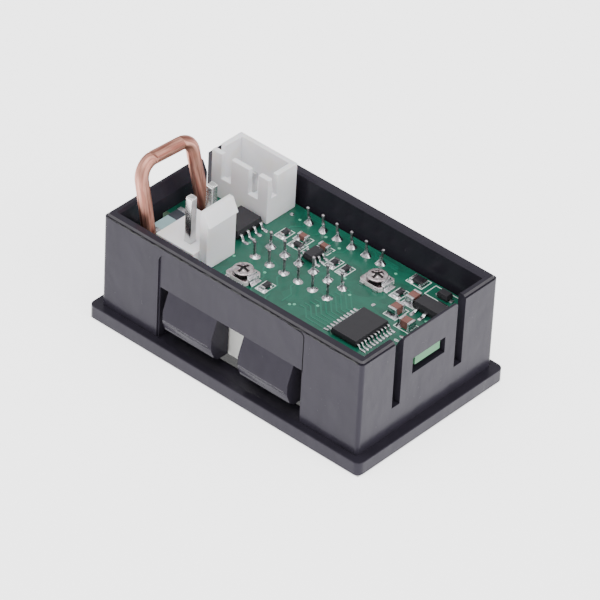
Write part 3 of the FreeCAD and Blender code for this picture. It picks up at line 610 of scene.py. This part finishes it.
def flashAndShadeBeadPoints():
    # a thin wavy bead of flash under the near rim, darker than the moulding as painted shade of the
    # groove there: height = rim - below + wave * (a product and a sum of sines)
    halfLength, halfWidth = flashAndPaintedShade["bodyHalf"]
    reach = halfLength - flashAndPaintedShade["inset"]
    x = np.linspace(-reach, reach, flashAndPaintedShade["steps"])
    a, b, c, d = (ripple * x for ripple in flashAndPaintedShade["ripples"])
    wave = np.sin(a) * np.sin(b + 1) + 0.6 * np.sin(c + 2 * np.sin(d))
    quick, slow = (swell * x for swell in flashAndPaintedShade["swells"])
    thick = flashAndPaintedShade["radius"] * (0.75 + flashAndPaintedShade["swell"] * np.sin(quick + np.sin(slow)))
    route = np.stack((x, 0 * x - halfWidth, rimTop - flashAndPaintedShade["below"] + flashAndPaintedShade["wave"] * wave), -1)
    return tubePoints(route, thick[:, None, None], flashAndPaintedShade["around"], (0, 0, 1.0))[None]


gridPiece("rim_flash_painted_shade", flashAndShadeBeadPoints(), "flashAndPaintedShade", "housing_plastic")
panelLine = {
    "x": 12.75,    # the sunk panel's end
    "foot": 6.8,    # this and the next two are down from the rim's top
    "bend": 0.6,
    "end": 0.42,
    "run": 2.8,
    "corner": 0.7,
    "radius": 0.06,
    "arcSteps": 12,
}


def panelLinePoints():
    # a thin dark bead up the sunk panel's near end and round its corner: painted shade where the edge
    # shades the panel
    x, y = panelLine["x"], -flashAndPaintedShade["bodyHalf"][1]
    foot, bend, end = (rimTop - panelLine[part] for part in ("foot", "bend", "end"))
    corners = [(x, y, foot), (x, y, bend), (x - panelLine["run"], y, end)]
    route = roundedRoute(corners, [panelLine["corner"]], panelLine["arcSteps"])
    return tubePoints(route, panelLine["radius"], flashAndPaintedShade["around"], (0, 1.0, 0))[None]


gridPiece("panel_edge_painted_shade", panelLinePoints(), "paintedPanelShade", "housing_plastic")
softened("display_filter", "smoked_front_window", ["smoked"], "smoked_window", width=0.08)
for place in ("voltage", "current"):
    display = place + "_display"
    moulding = softened(
        display + "_case", display + "_moulding", ["case", "face"], "display_plastic", width=0.08
    )
    markFaces(moulding, faceVectors(moulding, "normal")[:, 2] < -0.5)
print("housing and displays done")


# Circuit board

board = {
    "trackWidth": 0.22,
    "trackHeight": 0.025,
    "tracks": [    # lines in a group, and its points: x and y on the first, and steps to the next
        (10, [(10.9, -6.58, 0, 0.65), (7.3, -6.58, 0.3, 0.65),
              (5.8, -5.08, 0.2, 0.75), (4.8, -5.08, 0.2, 0.75)]),
        (4, [(-6.35, 9.12, 2.54, 0), (-6.35, 7.9, 2.54, -0.15),
             (-7.45, 6.8, 2.44, -0.25), (-7.45, 5.5, 2.44, -0.3)]),
        (4, [(-6.35, -1.5, 2.54, 0), (-6.35, -2.6, 2.54, -0.12),
             (-5.05, -3.9, 2.54, -0.12), (-5.05, -5.6, 2.54, -0.2)]),
        (4, [(-6.35, -9.12, 2.54, 0), (-6.35, -8.1, 2.54, 0.1),
             (-7.15, -7.3, 2.54, 0.1), (-7.15, -6.4, 2.54, 0.1)]),
        (3, [(-8.6, 10.75, 0.3, -0.33), (5.2, 10.75, -0.9, -0.33),
             (5.8, 10.15, -0.9, -0.33), (8.6, 10.15, 0.2, -0.33)]),
        (3, [(-7.4, -10.7, 0.4, 0.34), (8.5, -10.7, -0.5, 0.34),
             (9.3, -9.9, -0.5, 0.34), (12.2, -9.9, 0.3, 0.34)]),
        (3, [(20.3, -8.2, -0.42, 0.2), (20.3, -4.4, -0.42, -0.4),
             (19.5, -3.6, -0.42, -0.4), (19.5, -3.2, -0.42, -0.2)]),
    ],
    "sunk": 0.02,    # how far tracks and pads reach into the board
    "inkWidth": 0.11,
    "inkHeight": 0.02,
    "inkSunk": 0.01,
    "inkMargin": 0.36,
    "diodeFrame": ((14.7, 8.33, 0), (19.8, 10.64, 0)),
    "via": ((0.22, 0), (0.22, 0.03), (0.19, 0.045), (0.11, 0.045), (0.07, 0.01), (0.02, 0.008)),
    "viaAround": 16,
    "vias": [
        (3.79, -5.97), (4.25, -5.54), (9.24, 8.85), (14.65, 1.68), (6.9, -8.3), (-9.3, -8.9),
        (-7.6, 8.7), (-2.6, 8.3), (5.2, 3.3), (10.9, -0.6), (9.1, -8.9), (19.2, -6.8), (0.3, 7.7),
        (-8.4, -3.4), (-8.9, 0.2), (8.0, 1.1), (18.8, 3.9), (11.3, 9.2), (-3.1, -3.2), (6.6, -3.6),
    ],
    "padHeight": 0.05,
    "padEdge": 0.04,
    "padCorner": 0.22,
    "pads": [    # x, y and half sizes of the bare tinned pads
        (18.69, -1.83, 0.38, 0.24), (18.72, -0.76, 0.38, 0.24), (19.66, -2.94, 0.3, 0.3),
        (16.9, -9.2, 0.42, 0.42), (14.4, -9.2, 0.42, 0.42), (19.4, -9.2, 0.42, 0.42),
        (-9.2, 8.9, 0.3, 0.3), (11.6, 1.7, 0.24, 0.34),
    ],
}


def trackPaths():
    # each point of a group's lines is start + step * the line's number
    groups = []
    for count, points in board["tracks"]:
        start, step = np.split(np.array(points), 2, axis=1)
        groups.append(start + step * np.arange(count)[:, None, None])
    return np.concatenate(groups)


def viaPoints():
    # a low ring with a dimple: out at the board, flat on top, in and down at its middle
    places = np.array(board["vias"])
    rows = np.ones((len(places), 1))
    radii, levels = np.array(board["via"]).T
    return turned(places, radii * rows, boardTop + levels * rows, board["viaAround"])


def padPoints():
    # blocks round each pad's middle, from just inside the board to the pad's height
    middle, half = np.split(np.array(board["pads"]), 2, axis=1)
    low = raised(middle - half, np.full(len(half), boardTop - board["sunk"]))
    high = raised(middle + half, np.full(len(half), boardTop + board["padHeight"]))
    return blocks(low, high, board["padEdge"], board["padCorner"])


plate = softened("circuit_board", "green_board", ["mask", "laminate"], "board_laminate", width=0.05)
markFaces(plate, np.abs(faceVectors(plate, "normal")[:, 2]) < 0.5)
gridPiece(
    "covered_tracks",
    ribbons(
        trackPaths(), board["trackWidth"], boardTop - board["sunk"], boardTop + board["trackHeight"]
    ),
    "track", "board_laminate",
)
gridPiece("covered_vias", viaPoints(), "via", "board_laminate")
gridPiece("tinned_pads", padPoints(), "solder", "solder")
print("board done")


# Copper shunt

shunt = {
    "radius": 0.95,
    "around": 40,
    "arcSteps": 12,
    "knee": 0.85,    # height of the lower bends above the board
    "nearLean": 2.6,
    "farLean": 2.0,
    "nearShoulder": 0.4,
    "farShoulder": 0.85,
    "bends": (3.0, 2.5, 2.0, 3.0),
    "brownReach": 4.5,
    "moundIn": 0.3,    # how far a mound's top lies inside the model's solder
    "moundFlare": 0.4,
    "moundSteep": 2.0,
    "moundCorner": 0.85,
    "moundSteps": 9,
}


def shuntRoute():
    # the wire's two feet, leaning legs and straight top
    low, high = nodeCorners("copper_shunt")
    r = shunt["radius"]
    footX = high[0] - r
    nearY, farY = low[1] + r, high[1] - r
    knee = boardTop + shunt["knee"]
    top = high[2] - r
    points = [
        (footX, nearY, low[2]),
        (footX, nearY, knee),
        (footX - shunt["nearLean"], nearY + shunt["nearShoulder"], top),
        (footX - shunt["farLean"], farY - shunt["farShoulder"], top),
        (footX, farY, knee),
        (footX, farY, low[2]),
    ]
    return roundedRoute(points, shunt["bends"], shunt["arcSteps"])


def addShunt():
    # the wire's own place goes with it: round its axis across, and its length so far along
    route = shuntRoute()
    points = tubePoints(route, shunt["radius"], shunt["around"], (0, 1.0, 0.001))
    piece = gridPiece(
        "bent_copper_shunt", points[None], "copper", "shunt_copper", replaced=["copper_shunt"]
    )
    length = np.concatenate(([0], np.cumsum(np.linalg.norm(np.diff(route, axis=0), axis=1))))
    turn = fullTurn(shunt["around"])
    unrolled = np.stack(np.broadcast_arrays(np.cos(turn), np.sin(turn), length[:, None]), -1)
    foot = 1 - np.clip((points[:, :, 2] - boardTop) / shunt["brownReach"], 0, 1)
    attributes = piece.data.attributes
    attributes.new("unrolled", "FLOAT_VECTOR", "POINT").data.foreach_set("vector", unrolled.ravel())
    attributes.new("foot", "FLOAT", "POINT").data.foreach_set("value", foot.ravel())


def moundPoints():
    # solder drawn up round both feet
    feet = nodeSolids("shunt_solder")
    inward = (shunt["moundIn"], shunt["moundIn"], 0)
    return skirts(
        feet[:, 0] + inward, feet[:, 1] - inward,
        shunt["moundFlare"], shunt["moundSteep"], shunt["moundCorner"], steps=shunt["moundSteps"],
    )


addShunt()
gridPiece("shunt_solder_mounds", moundPoints(), "solder", "solder", replaced=["shunt_solder"])
print("shunt done")


# Display pins and the solder round them

pin = {
    "shaft": 0.18,
    "tip": 0.27,
    "around": 14,
    "ballSteps": 9,
    "ballHole": 0.08,    # radians left open at the ball's top
    "ballRise": 0.3,    # from the shaft's end to the ball
    "lean": 0.07,
    "farRowY": 5,    # pins beyond this are the far row's
    "farLean": (-0.25, -0.25, -0.28, -0.2, 0.12, 0.42),    # how far their tips lean along x
    "foot": 0.7,
    "neck": 0.22,
    "coneSteps": 9,
    "coneAround": 24,
    "coneHeight": 1.05,
    "lowRowY": (-1.8, -1.2),    # the row whose solder is only a mound
    "moundHeight": 0.42,
    "uneven": (0.88, 1.1),
    "lumps": 0.08,
}


def pinPoints(low, high):
    # a straight shaft that ends in a ball: radius = tip * cos(a), height = centre + tip * sin(a)
    shaft, tip = pin["shaft"], pin["tip"]
    angles = np.linspace(-math.acos(shaft / tip), np.pi / 2 - pin["ballHole"], pin["ballSteps"])
    radii = np.concatenate(([shaft, shaft], tip * np.cos(angles)))
    ball = high[:, 2:] - tip + tip * np.sin(angles)
    levels = np.concatenate((low[:, 2:], ball[:, :1] - pin["ballRise"], ball), 1)
    points = turned((low + high)[:, :2] / 2, radii * np.ones((len(low), 1)), levels, pin["around"])
    share = np.clip((levels - boardTop) / (high[:, 2:] - boardTop), 0, 1)
    lean = chance.normal(0, pin["lean"], (len(low), 1, 2))
    farRow = low[:, 1] > pin["farRowY"]
    lean[farRow, 0, 0] += np.resize(pin["farLean"], farRow.sum())
    points[..., :2] += (lean * share[..., None])[:, :, None]
    return points


def solderPoints(places, heights):
    # radius = neck + (foot - neck) * (1 - share) ** 2, wavy round the turn towards the foot
    foot, neck = pin["foot"], pin["neck"]
    share = np.linspace(0, 1, pin["coneSteps"])
    spread = (1 - share) ** 2
    turn = fullTurn(pin["coneAround"])
    phase = chance.uniform(0, 2 * np.pi, (len(places), 2, 1, 1))
    wave = np.cos(2 * turn + phase[:, 0]) + 0.6 * np.cos(3 * turn + phase[:, 1])
    radii = (neck + (foot - neck) * spread)[:, None] * (1 + pin["lumps"] * wave * spread[:, None])
    return turned(places, radii, boardTop + share * heights[:, None], pin["coneAround"])


for place in ("voltage", "current"):
    node = place + "_display_pins"
    solids = nodeSolids(node)
    points = pinPoints(solids[:, 0], solids[:, 1])
    gridPiece(place + "_display_wires", points, "tinned", "tinned_wire", replaced=[node])
joints = nodeSolids("display_pin_solder").mean(1)[:, :2]
lowRow = (joints[:, 1] > pin["lowRowY"][0]) & (joints[:, 1] < pin["lowRowY"][1])
heights = np.where(lowRow, pin["moundHeight"], pin["coneHeight"])
heights = heights * chance.uniform(*pin["uneven"], len(joints))
gridPiece(
    "display_wire_solder", solderPoints(joints, heights), "solder", "solder",
    replaced=["display_pin_solder"],
)
print("display pins done")


# Header pins and shells

post = {
    "tipLength": 0.5,
    "tipInset": 0.6,    # share of the half width that the tip comes in
    "tipSteps": 7,
    "corner": 0.3,    # share of the half width
}


def headerPinPoints(low, high):
    # a square pin whose tip comes in along a quarter ellipse
    half = (high - low)[0, 0] / 2
    angles = np.linspace(0, np.pi / 2, post["tipSteps"])
    length = (high - low)[0, 2]
    insets = np.concatenate(([0, 0], post["tipInset"] * half * (1 - np.cos(angles))))
    tip = 1 - post["tipLength"] / length * (1 - np.sin(angles))
    shares = np.concatenate(([0, 0.5], tip))
    return stacked(low, high, insets, shares, post["corner"] * half, steps=5)


for header in ("signal_header", "power_header"):
    solids = nodeSolids(header + "_pins")
    gridPiece(
        header + "_posts", headerPinPoints(solids[:, 0], solids[:, 1]), "pin", "tinned_pin",
        replaced=[header + "_pins"],
    )
    softened(header + "_shell", header + "_moulding", ["nylon"], "header_nylon", width=0.12)
print("headers done")


# Chips and their leads

lead = {
    "thick": 0.14,
    "cornerShare": 0.35,    # of the thickness
    "steps": 18,
    "rootShare": -0.12,    # of the reach, inside the body
    "flatShare": 0.22,    # of the reach, level with the body's middle
    "dropShare": 0.6,    # of the reach, where the foot begins
    "gap": 0.02,    # between the foot and the board
    "padPast": 0.42,
    "padGrow": 0.05,
    "padSunk": 0.01,
    "padHeight": 0.17,
    "padCorner": 0.12,
    "pad": ((-0.02, 0), (0, 0.3), (0.05, 0.7), (0.1, 0.9), (0.13, 1)),    # inset, share of height
}


def leadFacts(chip):
    # for each lead: its root on the body's side, its outward direction, reach and width
    bodyLow, bodyHigh = nodeCorners(chip + "_body")
    solids = nodeSolids(chip + "_leads")
    middle = solids.mean(1)
    off = (middle - (bodyLow + bodyHigh) / 2)[:, :2] / ((bodyHigh - bodyLow)[:2] / 2)
    sideways = np.abs(off[:, 0]) > np.abs(off[:, 1])
    outward = np.where(sideways[:, None], np.sign(off) * (1, 0), np.sign(off) * (0, 1))
    side = np.where(outward > 0, bodyHigh[:2], bodyLow[:2])
    root = np.where(outward != 0, side, middle[:, :2])
    end = np.where(outward > 0, solids[:, 1, :2], solids[:, 0, :2])
    reach = np.sum((end - root) * outward, -1)
    width = np.where(sideways, np.ptp(solids[:, :, 1], 1), np.ptp(solids[:, :, 0], 1))
    return root, outward, reach, width, solids[:, 1, 2].max()


def leadPoints(chip):
    # a flat strip along an S: level at the body, down along 1 - (3 t^2 - 2 t^3), level at the foot
    root, outward, reach, width, top = leadFacts(chip)
    thick = lead["thick"]
    bottom = boardTop + lead["gap"]
    share = np.linspace(lead["rootShare"], 1, lead["steps"])
    fall = smooth((share - lead["flatShare"]) / (lead["dropShare"] - lead["flatShare"]))
    s = reach[:, None] * share
    z = bottom + thick / 2 + (top - bottom - thick) * (1 - fall) + 0 * s
    stepS, stepZ = np.gradient(s, axis=1), np.gradient(z, axis=1)
    size = np.hypot(stepS, stepZ)
    normalS, normalZ = -stepZ / size, stepS / size
    half = np.stack((width / 2, np.full(len(width), thick / 2)), -1)
    profile = rings(half, np.full(len(width), thick * lead["cornerShare"]), 3)[:, None]
    across = np.stack((-outward[:, 1], outward[:, 0]), -1)[:, None, None]
    ahead = s[..., None] + profile[..., 1] * normalS[..., None]
    flat = root[:, None, None] + outward[:, None, None] * ahead[..., None] + across * profile[..., :1]
    return raised(flat, z[..., None] + profile[..., 1] * normalZ[..., None])


def footSolder(chip):
    # a low mound of solder round each foot, out past its toe
    root, outward, reach, width, _ = leadFacts(chip)
    start = root + outward * (reach * lead["dropShare"])[:, None]
    end = root + outward * (reach + lead["padPast"])[:, None]
    grow = (width / 2 + lead["padGrow"])[:, None] * np.abs(outward[:, ::-1])
    base = np.full(len(root), boardTop)
    low = raised(np.minimum(start, end) - grow, base - lead["padSunk"])
    high = raised(np.maximum(start, end) + grow, base + lead["padHeight"])
    return stacked(low, high, *np.array(lead["pad"]).T, lead["padCorner"])


for chip in ("microcontroller", "amplifier", "reference", "regulator"):
    softened(chip + "_body", chip + "_moulding", ["epoxy"], "chip_epoxy", width=0.06)
    gridPiece(chip + "_legs", leadPoints(chip), "lead", "tinned_lead", replaced=[chip + "_leads"])
    gridPiece(chip + "_leg_solder", footSolder(chip), "solder", "solder")
softened("diode_body", "diode_moulding", ["epoxy"], "chip_epoxy", width=0.08)
softened("diode_leads", "diode_straps", ["lead"], "tinned_lead", width=0.05)
print("chips done")


# Resistors, capacitors, their metal ends, solder and outlines

chipPart = {
    "edge": 0.05,
    "corner": 0.07,
    "filmSunk": 0.02,
    "filmHeight": 0.06,
    "filmInset": 0.06,
    "filmEdge": 0.03,
    "nearFlare": 0.34,    # solder at the end towards -x or -y
    "farFlare": 0.12,
    "steep": 1.8,
    "filletShare": 0.6,
    "stripeLength": 1.9,    # this and the next three are the power resistor's dark stripe
    "stripeInset": 0.05,
    "stripeHeight": 0.04,
    "stripeCorner": 0.1,
}


def nearEnds(bodies, ends):
    # True for each end that lies towards -x or -y of its own body
    gap = ends.mean(1)[:, None] - bodies.mean(1)
    off = gap[np.arange(len(ends)), np.argmin(np.linalg.norm(gap, axis=-1), axis=1)]
    return off[:, :2].sum(1) < 0


def endFillets(ends, near):
    # solder drawn part of the way up every metal end, more of it at the near ends
    low, high = ends[:, 0].copy(), ends[:, 1].copy()
    high[:, 2] = low[:, 2] + (high[:, 2] - low[:, 2]) * chipPart["filletShare"]
    return np.concatenate([
        skirts(low[chosen], high[chosen], chipPart[flare], chipPart["steep"], chipPart["corner"])
        for chosen, flare in ((near, "nearFlare"), (~near, "farFlare"))
    ])


def outlineBoxes(bodies, ends):
    # each body's box joined with those of the two ends nearest to it, and a margin
    gap = np.linalg.norm(bodies.mean(1)[:, None] - ends.mean(1), axis=-1)
    pair = ends[np.argsort(gap, axis=1)[:, :2]]
    margin = board["inkMargin"]
    return pair[:, :, 0].min(1) - margin, pair[:, :, 1].max(1) + margin


def filmPoints():
    # the dark film on every resistor: its top grown up a little and in at the sides
    bodies = nodeSolids("chip_resistors")
    inset = (chipPart["filmInset"], chipPart["filmInset"], 0)
    low, high = bodies[:, 0] + inset, bodies[:, 1] - inset
    low[:, 2] = high[:, 2] - chipPart["filmSunk"]
    high[:, 2] += chipPart["filmHeight"]
    return blocks(low, high, chipPart["filmEdge"], chipPart["corner"])


def stripePoints():
    # one block over the far end of the power resistor's top
    low, high = nodeCorners("power_resistor")
    inset = chipPart["stripeInset"]
    stripeLow = (low[0] + inset, high[1] - chipPart["stripeLength"], high[2] - chipPart["filmSunk"])
    stripeHigh = (high[0] - inset, high[1] - inset, high[2] + chipPart["stripeHeight"])
    return blocks(
        np.array([stripeLow]), np.array([stripeHigh]), chipPart["filmEdge"], chipPart["stripeCorner"]
    )


outlines = []
for node, name, body, end, slot in (
    ("chip_resistors", "resistor", "film", "paintedDarkEnd", "resistor_film"),
    ("ceramic_capacitors", "capacitor", "tan", "lead", "capacitor_ceramic"),
):
    endNode = node[:-1] + "_ends"
    bodies, ends = nodeSolids(node), nodeSolids(endNode)
    near = nearEnds(bodies, ends)
    for part, boxes, finish, partSlot, replaced in (
        ("_bodies", bodies, body, slot, [node]),
        ("_near_ends", ends[near], "lead", "tinned_lead", [endNode]),
        # for resistors the far ends take a darker tinned finish: a painted dark reflection of the wall
        ("_far_ends", ends[~near], end, "tinned_lead", []),
    ):
        points = blocks(boxes[:, 0], boxes[:, 1], chipPart["edge"], chipPart["corner"])
        gridPiece(name + part, points, finish, partSlot, replaced=replaced)
    gridPiece(name + "_end_solder", endFillets(ends, near), "solder", "solder")
    outlines.append(outlineBoxes(bodies, ends))
gridPiece("resistor_films", filmPoints(), "film", "resistor_film")
outlines.append(np.array(board["diodeFrame"])[:, None])
outlineLow, outlineHigh = (np.concatenate(corners) for corners in zip(*outlines))
gridPiece(
    "white_outlines",
    frames(
        outlineLow, outlineHigh, board["inkWidth"],
        boardTop - board["inkSunk"], boardTop + board["inkHeight"],
    ),
    "ink", "board_laminate", looped=True,
)
softened("power_resistor", "power_resistor_body", ["glaze"], "capacitor_ceramic", width=0.06)
softened("power_resistor_ends", "power_resistor_caps", ["lead"], "tinned_lead", width=0.06)
gridPiece("power_resistor_stripe", stripePoints(), "stripe", "resistor_film")
print("resistors and capacitors done")


# Trimmers

disc = {
    "past": 0.08,    # how far the disc reaches past the model's
    "dome": 0.1,
    "rim": 0.1,
    "rimSteps": 8,
    "hole": 0.02,    # radius left for the end faces
    "slotDepth": 0.3,
    "slotWidth": 0.36,
    "slotLength": 1.9,
    "slotSoft": 0.05,
    "darkPast": 0.6,
    "petal": 0.12,    # height of the swell between the arms of the cross
    "petalReach": 0.95,
    "rows": 56,
    "around": 144,
}


def discPoints(low, high):
    # height = top + dome * (1 - (r/R)^2) + petal * sin(2 turn)^2 * ring(r) - depth * cross(x, y)
    centre = (low + high) / 2
    radius = (high - low)[0] / 2 + disc["past"]
    rim, hole = disc["rim"], disc["hole"]
    turn = fullTurn(disc["around"])
    r = np.linspace(radius - rim, hole, disc["rows"])[:, None]
    x, y = r * np.cos(turn), r * np.sin(turn)
    halfWidth, halfLength = disc["slotWidth"] / 2, disc["slotLength"] / 2
    within = [1 - smooth((np.abs(t) - halfWidth) / disc["slotSoft"]) for t in (x, y)]
    reach = [1 - smooth((np.abs(t) - halfLength) / disc["slotSoft"]) for t in (x, y)]
    cross = np.maximum(within[0] * reach[1], within[1] * reach[0])
    ring = np.sin(np.pi * np.clip(r / disc["petalReach"], 0, 1)) ** 2
    swell = disc["petal"] * np.sin(2 * turn) ** 2 * ring
    z = high[2] + disc["dome"] * (1 - (r / radius) ** 2) + swell - disc["slotDepth"] * cross
    angles = np.linspace(-np.pi / 2, np.pi / 2, disc["rimSteps"] + 1)[:-1, None]
    rimR = radius - rim + rim * np.cos(angles) + 0 * turn
    rimZ = centre[2] + (high[2] - low[2]) / 2 * np.sin(angles) + 0 * turn
    allR = np.concatenate((np.full((1, len(turn)), hole), rimR, r + 0 * turn))
    allZ = np.concatenate((np.full((1, len(turn)), low[2]), rimZ, z))
    points = np.stack((centre[0] + allR * np.cos(turn), centre[1] + allR * np.sin(turn), allZ), -1)
    sunk = np.concatenate((np.zeros((len(rimR) + 1, len(turn))), cross))
    return points[None], sunk


def addDisc(place):
    # the middle, and faces whose four corners average deep in the cross, show the black rotor
    wiper = place + "_trimmer_wiper"
    points, sunk = discPoints(*nodeCorners(wiper))
    piece = gridPiece(
        place + "_trimmer_disc", points, "wiper", "wiper_metal",
        body=place + "_rotor", replaced=[wiper], crease=50,
    )
    piece.data.materials.append(finishes["rotor"])
    deep = (sunk[:-1] + sunk[1:]) / 2
    deep = (deep + np.roll(deep, -1, 1)) / 2 > disc["darkPast"]
    index = np.zeros(len(piece.data.polygons), dtype=int)
    index[:deep.size] = deep.ravel()
    index[-1] = 1
    markFaces(piece, index)


for place in ("voltage", "current"):
    addDisc(place)
    node = place + "_trimmer"
    base = softened(node + "_base", node + "_plate", ["ceramic", "wiper"], "trimmer_ceramic", width=0.08)
    markFaces(base, faceVectors(base, "normal")[:, 2] > 0.5)
    softened(node + "_terminals", node + "_straps", ["lead"], "tinned_lead", width=0.07)
print("trimmers done")


# What stays as the model has it, with better finishes

for node, finish in {
    "voltage_display_segments": "segment",
    "current_display_segments": "segment",
    "current_trimmer_rotor": "rotor",
    "voltage_trimmer_rotor": "rotor",
}.items():
    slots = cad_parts[node].data.materials
    slots.clear()
    slots.append(finishes[finish])


# Floor, lights and camera

studio = {
    "floorSize": 3.0,
    "floorGlow": 2.0,
    "floorGap": 0.00005,
    "openHalf": (23.9, 14.3),    # half sizes of the open patch under the meter, in millimetres
    "openSoft": 0.1,
    "skyStrength": 0.9,
    "lightDistance": 0.9,
    "lights": {    # power, size, and degrees round and up
        "top_softbox": (5.5, 0.7, 10, 75),
        "right_softbox": (4.5, 0.6, 100, 30),
        "left_softbox": (1.0, 0.5, -40, 35),
    },
    "azimuth": 40.158,    # the camera's degrees round from straight ahead
    "elevation": 37.406,
    "roll": 3.071,
    "distance": 0.666852,    # metres from the origin's plane
    "aimRight": 0.000726,
    "aimUp": 0.006354,
    "focusPixels": 5020.882,
    "picturePixels": 600,
    "sensor": 36.0,
}


def addFloor():
    # a flat square a hair under the bezel; from below it lets the front of the meter be seen
    half, level = studio["floorSize"] / 2, -studio["floorGap"]
    mesh = bpy.data.meshes.new("floor")
    corners = [(-half, -half, level), (half, -half, level), (half, half, level), (-half, half, level)]
    mesh.from_pydata(corners, [], [(0, 1, 2, 3)])
    floor = addObject("floor", mesh)
    f = Finish(
        "pale_paper", Roughness=0.9, Specular_IOR_Level=0.1,
        Emission_Color=(1, 1, 1, 1), Emission_Strength=studio["floorGlow"],
    )
    f.colour(f.noise(0.02), (250, 250, 250), (246, 246, 247))
    clear = f.add("ShaderNodeBsdfTransparent")
    behind = f.add("ShaderNodeNewGeometry", output="Backfacing")
    spread = f.add("ShaderNodeVectorMath", {"operation": "ABSOLUTE"}, {"Vector": f.place})
    across = f.add("ShaderNodeSeparateXYZ", {}, {"Vector": spread})
    along = f.add("ShaderNodeSeparateXYZ", {}, {"Vector": spread}, output="Y")
    (openX, openY), soft = studio["openHalf"], studio["openSoft"]
    beneath = across.below(openX, soft) * along.below(openY, soft)
    paper = Value(f, f.shader.outputs["BSDF"])
    unseen = behind.sum("MAXIMUM", behind, beneath)
    shown = f.add("ShaderNodeMixShader", {}, {0: unseen, 1: paper, 2: clear})
    f.plug(f.tree.nodes["Material Output"].inputs["Surface"], shown)
    mesh.materials.append(f.material)


def facing(azimuth, elevation):
    # the turn that points a lamp or camera at the origin from an azimuth and elevation in degrees
    turn = Matrix.Rotation(math.radians(azimuth), 4, "Z")
    return turn @ Matrix.Rotation(math.radians(90 - elevation), 4, "X")


def addLight(name, power, size, azimuth, elevation):
    # a square soft light that faces the origin
    lamp = bpy.data.lights.new(name, "AREA")
    lamp.energy = power
    lamp.size = size
    light = addObject(name, lamp)
    light.matrix_world = facing(azimuth, elevation) @ Matrix.Translation((0, 0, studio["lightDistance"]))


def addCamera():
    camera = bpy.data.cameras.new("camera")
    camera.sensor_width = studio["sensor"]
    camera.sensor_fit = "HORIZONTAL"
    camera.lens = studio["focusPixels"] / studio["picturePixels"] * studio["sensor"]
    camera.clip_start = 0.05
    camera.clip_end = 20
    holder = addObject("camera", camera)
    roll = Matrix.Rotation(math.radians(studio["roll"]), 4, "Z")
    place = Matrix.Translation((studio["aimRight"], studio["aimUp"], studio["distance"]))
    holder.matrix_world = facing(studio["azimuth"], studio["elevation"]) @ roll @ place
    bpy.context.scene.camera = holder


def addSky():
    world = bpy.data.worlds.new("studio")
    world.use_nodes = True
    background = world.node_tree.nodes["Background"]
    background.inputs["Color"].default_value = (1, 1, 1, 1)
    background.inputs["Strength"].default_value = studio["skyStrength"]
    bpy.context.scene.world = world


addFloor()
addSky()
for name, facts in studio["lights"].items():
    addLight(name, *facts)
addCamera()
print("floor, lights and camera done")
